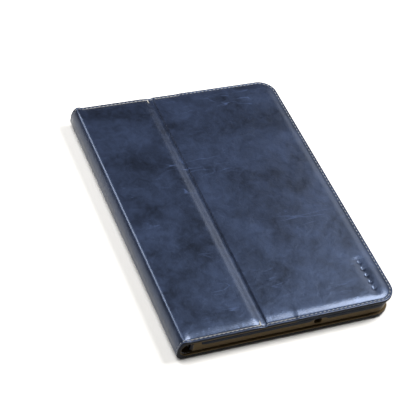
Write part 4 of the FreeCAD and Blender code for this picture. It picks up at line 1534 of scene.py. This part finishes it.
class FOLIO_OT_flap(bpy.types.Operator):
    """Make the closing flap on the spine side: leather outside, microfibre inside, one seam"""
    bl_idname = "folio.flap"
    bl_label = "Closing flap"

    def execute(self, context):
        reach = FLAP_HIGH.y
        across = np.concatenate([[-reach, -reach + 0.2 * MM, -reach + 0.6 * MM, -reach + 1.2 * MM],
                                 np.linspace(-reach + 2.4 * MM, reach - 2.4 * MM, 90),
                                 [reach - 1.2 * MM, reach - 0.6 * MM, reach - 0.2 * MM, reach]])
        bottom = FLAP_LOW.z
        line, thick, inward = FLAP_PROFILE[:, :2] * MM, FLAP_PROFILE[:, 2] * MM, FLAP_PROFILE[:, 3:]
        y = np.repeat(across[:, None], len(line), axis=1)
        height = np.repeat(line[None, :, 1], len(across), axis=0)
        end = np.clip(1 - (reach - np.abs(y)) / (1.4 * MM), 0, 1)
        low = np.clip(1 - (height - bottom) / (1.6 * MM), 0, 1)
        squeeze = 1.1 * MM * (end * low) ** 1.5
        height = height + squeeze
        sag = 0.08 * MM * waviness(y, height, 41, 14 * MM, 60 * MM)
        shown = np.stack([line[None, :, 0] + sag, y, height], axis=-1)
        hidden = np.stack([line[None, :, 0] + inward[None, :, 0] * thick + sag, y,
                           height + inward[None, :, 1] * thick], axis=-1)
        edge = np.minimum(height - bottom, reach - np.abs(y))
        leather = solid_from_sheets("flap_leather", shown, hidden, facts=facts_of(height, y, edge))
        dress(leather, "thin_navy", "navy_leather")
        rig.replaces(leather, "closing_flap_leather")
        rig.blend(leather, "back_cover", "closing_flap", *FLAP_BEND)

        rows = np.array([0, 0.15, 0.4, 1.0, 2.4, 3.6, 4.8, 5.4, 5.65, 5.8]) * MM
        y, up = np.meshgrid(across[2:-2], bottom + rows, indexing="ij")
        inset = np.minimum(up - bottom, FLAP_HIGH.z - up)
        soft = round_over(inset, 0.4 * MM, 0.2 * MM)
        soft += 0.04 * MM * waviness(y, up, 43, 9 * MM, 40 * MM)
        shown = np.stack([FLAP_FACING_HIGH.x - soft, y, up], axis=-1)
        hidden = np.stack([np.full_like(y, FLAP_FACING_LOW.x), y, up], axis=-1)
        lining = solid_from_sheets("flap_lining", shown, hidden, facts=facts_of(up, y))
        dress(lining, "brushed_olive", "olive_microfibre")
        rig.replaces(lining, "closing_flap_lining")
        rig.ride(lining, "closing_flap")

        seams = context.scene.folio_seams
        sewn = reach - 2 * MM
        count = round(2 * sewn / seams.pitch)
        places = [(bottom + 1.2 * MM, -sewn + (index + 0.5) * 2 * sewn / count, math.pi / 2)
                  for index in range(count)]

        def on_flap(u, v, height):
            return np.stack([np.interp(u, line[:, 1], line[:, 0]) - height, v, u], axis=-1)

        thread = sew("stitches_flap", places, on_flap, seams)
        dress(thread, "waxed_thread", "grey_thread")
        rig.replaces(thread, "closing_flap_stitching")
        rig.ride(thread, "closing_flap")
        return {"FINISHED"}


class FOLIO_OT_hidden_parts(bpy.types.Operator):
    """Give the boards, magnets, keepers and patches their finishes"""
    bl_idname = "folio.hidden_parts"
    bl_label = "Hidden parts"

    def execute(self, context):
        finishes = {
            "back_cover_board": "pressed_board", "front_inner_board": "pressed_board",
            "front_outer_board": "pressed_board", "bezel_stiffener": "pressed_board",
            "bezel_lining": "woven_facing", "pocket_lining": "woven_facing",
            "closure_magnets": "nickel_plate", "closure_keepers": "plain_steel",
            "flap_hook_patches": "hooks_and_loops", "wall_loop_patches": "hooks_and_loops",
        }
        for name, material in finishes.items():
            dress_node(name, material)
        return {"FINISHED"}


class FOLIO_OT_stage(bpy.types.Operator):
    """Lay the floor, hang the lights and stand the camera"""
    bl_idname = "folio.stage"
    bl_label = "Stage"

    def execute(self, context):
        self.floor()
        self.lights()
        self.camera(context.scene.folio_view)
        return {"FINISHED"}

    def floor(self):
        """A wide pale floor."""
        material, tree, surface = finish_material("floor_paper", {"Roughness": 0.85})
        place = tree.add("ShaderNodeTexCoord").outputs["Object"]
        clouds = tree.noise(place, 3.0, 3.0)
        hue = tree.mix(clouds, (0.70, 0.69, 0.67, 1), (0.74, 0.73, 0.71, 1))
        tree.put(surface, {"Base Color": hue})
        points = [(-6, -6, 0), (6, -6, 0), (6, 6, 0), (-6, 6, 0)]
        mesh = bpy.data.meshes.new("floor")
        mesh.from_pydata(points, [], [(0, 1, 2, 3)])
        mesh.materials.append(material)
        floor = scene_object("floor", mesh)
        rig.stage(floor)

    def lights(self):
        """A pale room, a large soft light beyond the free edge and one overhead."""
        world = bpy.data.worlds.new("room")
        world.use_nodes = True
        background = world.node_tree.nodes["Background"]
        background.inputs["Color"].default_value = (1.0, 0.94, 0.84, 1)
        background.inputs["Strength"].default_value = 0.09
        bpy.context.scene.world = world
        bpy.context.scene.view_settings.view_transform = "Standard"
        for name, place, size, power in (("key", (0.42, 0.0, 0.60), 0.34, 7.5),
                                         ("beyond", (0.74, 0.60, 0.66), 0.40, 1.2),
                                         ("overhead", (-0.35, 0.10, 1.30), 0.9, 15.0),
                                         ("behind", (-0.62, 0.80, 0.86), 0.50, 9.0)):
            lamp = bpy.data.lights.new(name, "AREA")
            lamp.shape = "DISK"
            lamp.size = size
            lamp.energy = power
            light = scene_object(name, lamp)
            light.location = place
            light.rotation_euler = (-Vector(place)).to_track_quat("-Z", "Y").to_euler()

    def camera(self, view):
        """The camera at the stated angles."""
        level = math.cos(view.elevation)
        back = Vector((math.sin(view.azimuth) * level, -math.cos(view.azimuth) * level,
                       math.sin(view.elevation)))
        lens = bpy.data.cameras.new("camera")
        lens.lens = view.lens
        lens.sensor_width = 36.0
        camera = scene_object("camera", lens)
        camera.location = Vector(view.aim) + back * view.distance
        straight = (-back).to_track_quat("-Z", "Y")
        camera.rotation_mode = "QUATERNION"
        camera.rotation_quaternion = Quaternion(back, view.roll) @ straight
        bpy.context.scene.camera = camera


class FOLIO_PT_builder(bpy.types.Panel):
    """Lists the folio's settings and pieces"""
    bl_idname = "FOLIO_PT_builder"
    bl_label = "Leather Folio"
    bl_space_type = "VIEW_3D"
    bl_region_type = "UI"
    bl_category = "Folio"

    def draw(self, context):
        for settings in SETTINGS:
            box = self.layout.box()
            owner = getattr(context.scene, settings)
            for key in owner.__annotations__:
                box.prop(owner, key)
        for operator in PIECES:
            self.layout.operator(operator.bl_idname)


SETTINGS = {
    "folio_shape": FolioShape,
    "folio_seams": FolioSeams,
    "folio_colours": FolioColours,
    "folio_view": FolioView,
}
PIECES = (FOLIO_OT_finishes, FOLIO_OT_stage, FOLIO_OT_hide, FOLIO_OT_lining, FOLIO_OT_pocket,
          FOLIO_OT_seams, FOLIO_OT_wall, FOLIO_OT_bezel, FOLIO_OT_flap, FOLIO_OT_hidden_parts)
CLASSES = (*SETTINGS.values(), *PIECES, FOLIO_PT_builder)


def register():
    """Register the classes and put the settings on the scene."""
    for cls in CLASSES:
        bpy.utils.register_class(cls)
    for name, cls in SETTINGS.items():
        setattr(bpy.types.Scene, name, PointerProperty(type=cls))


def unregister():
    """Take the settings and the classes away again."""
    for name in SETTINGS:
        delattr(bpy.types.Scene, name)
    for cls in reversed(CLASSES):
        bpy.utils.unregister_class(cls)


def main():
    """Build every piece in order and note the size."""
    register()
    bpy.ops.folio.finishes()
    bpy.ops.folio.stage()
    bpy.ops.folio.hide()
    bpy.ops.folio.lining()
    bpy.ops.folio.pocket()
    bpy.ops.folio.seams()
    bpy.ops.folio.wall()
    bpy.ops.folio.bezel()
    bpy.ops.folio.flap()
    bpy.ops.folio.hidden_parts()
    low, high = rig.bounds()
    with open("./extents.json", "w") as file:
        json.dump({"cad": [list(CAD_LOW), list(CAD_HIGH)], "visual": [list(low), list(high)]}, file)


if __name__ == "__main__":
    main()
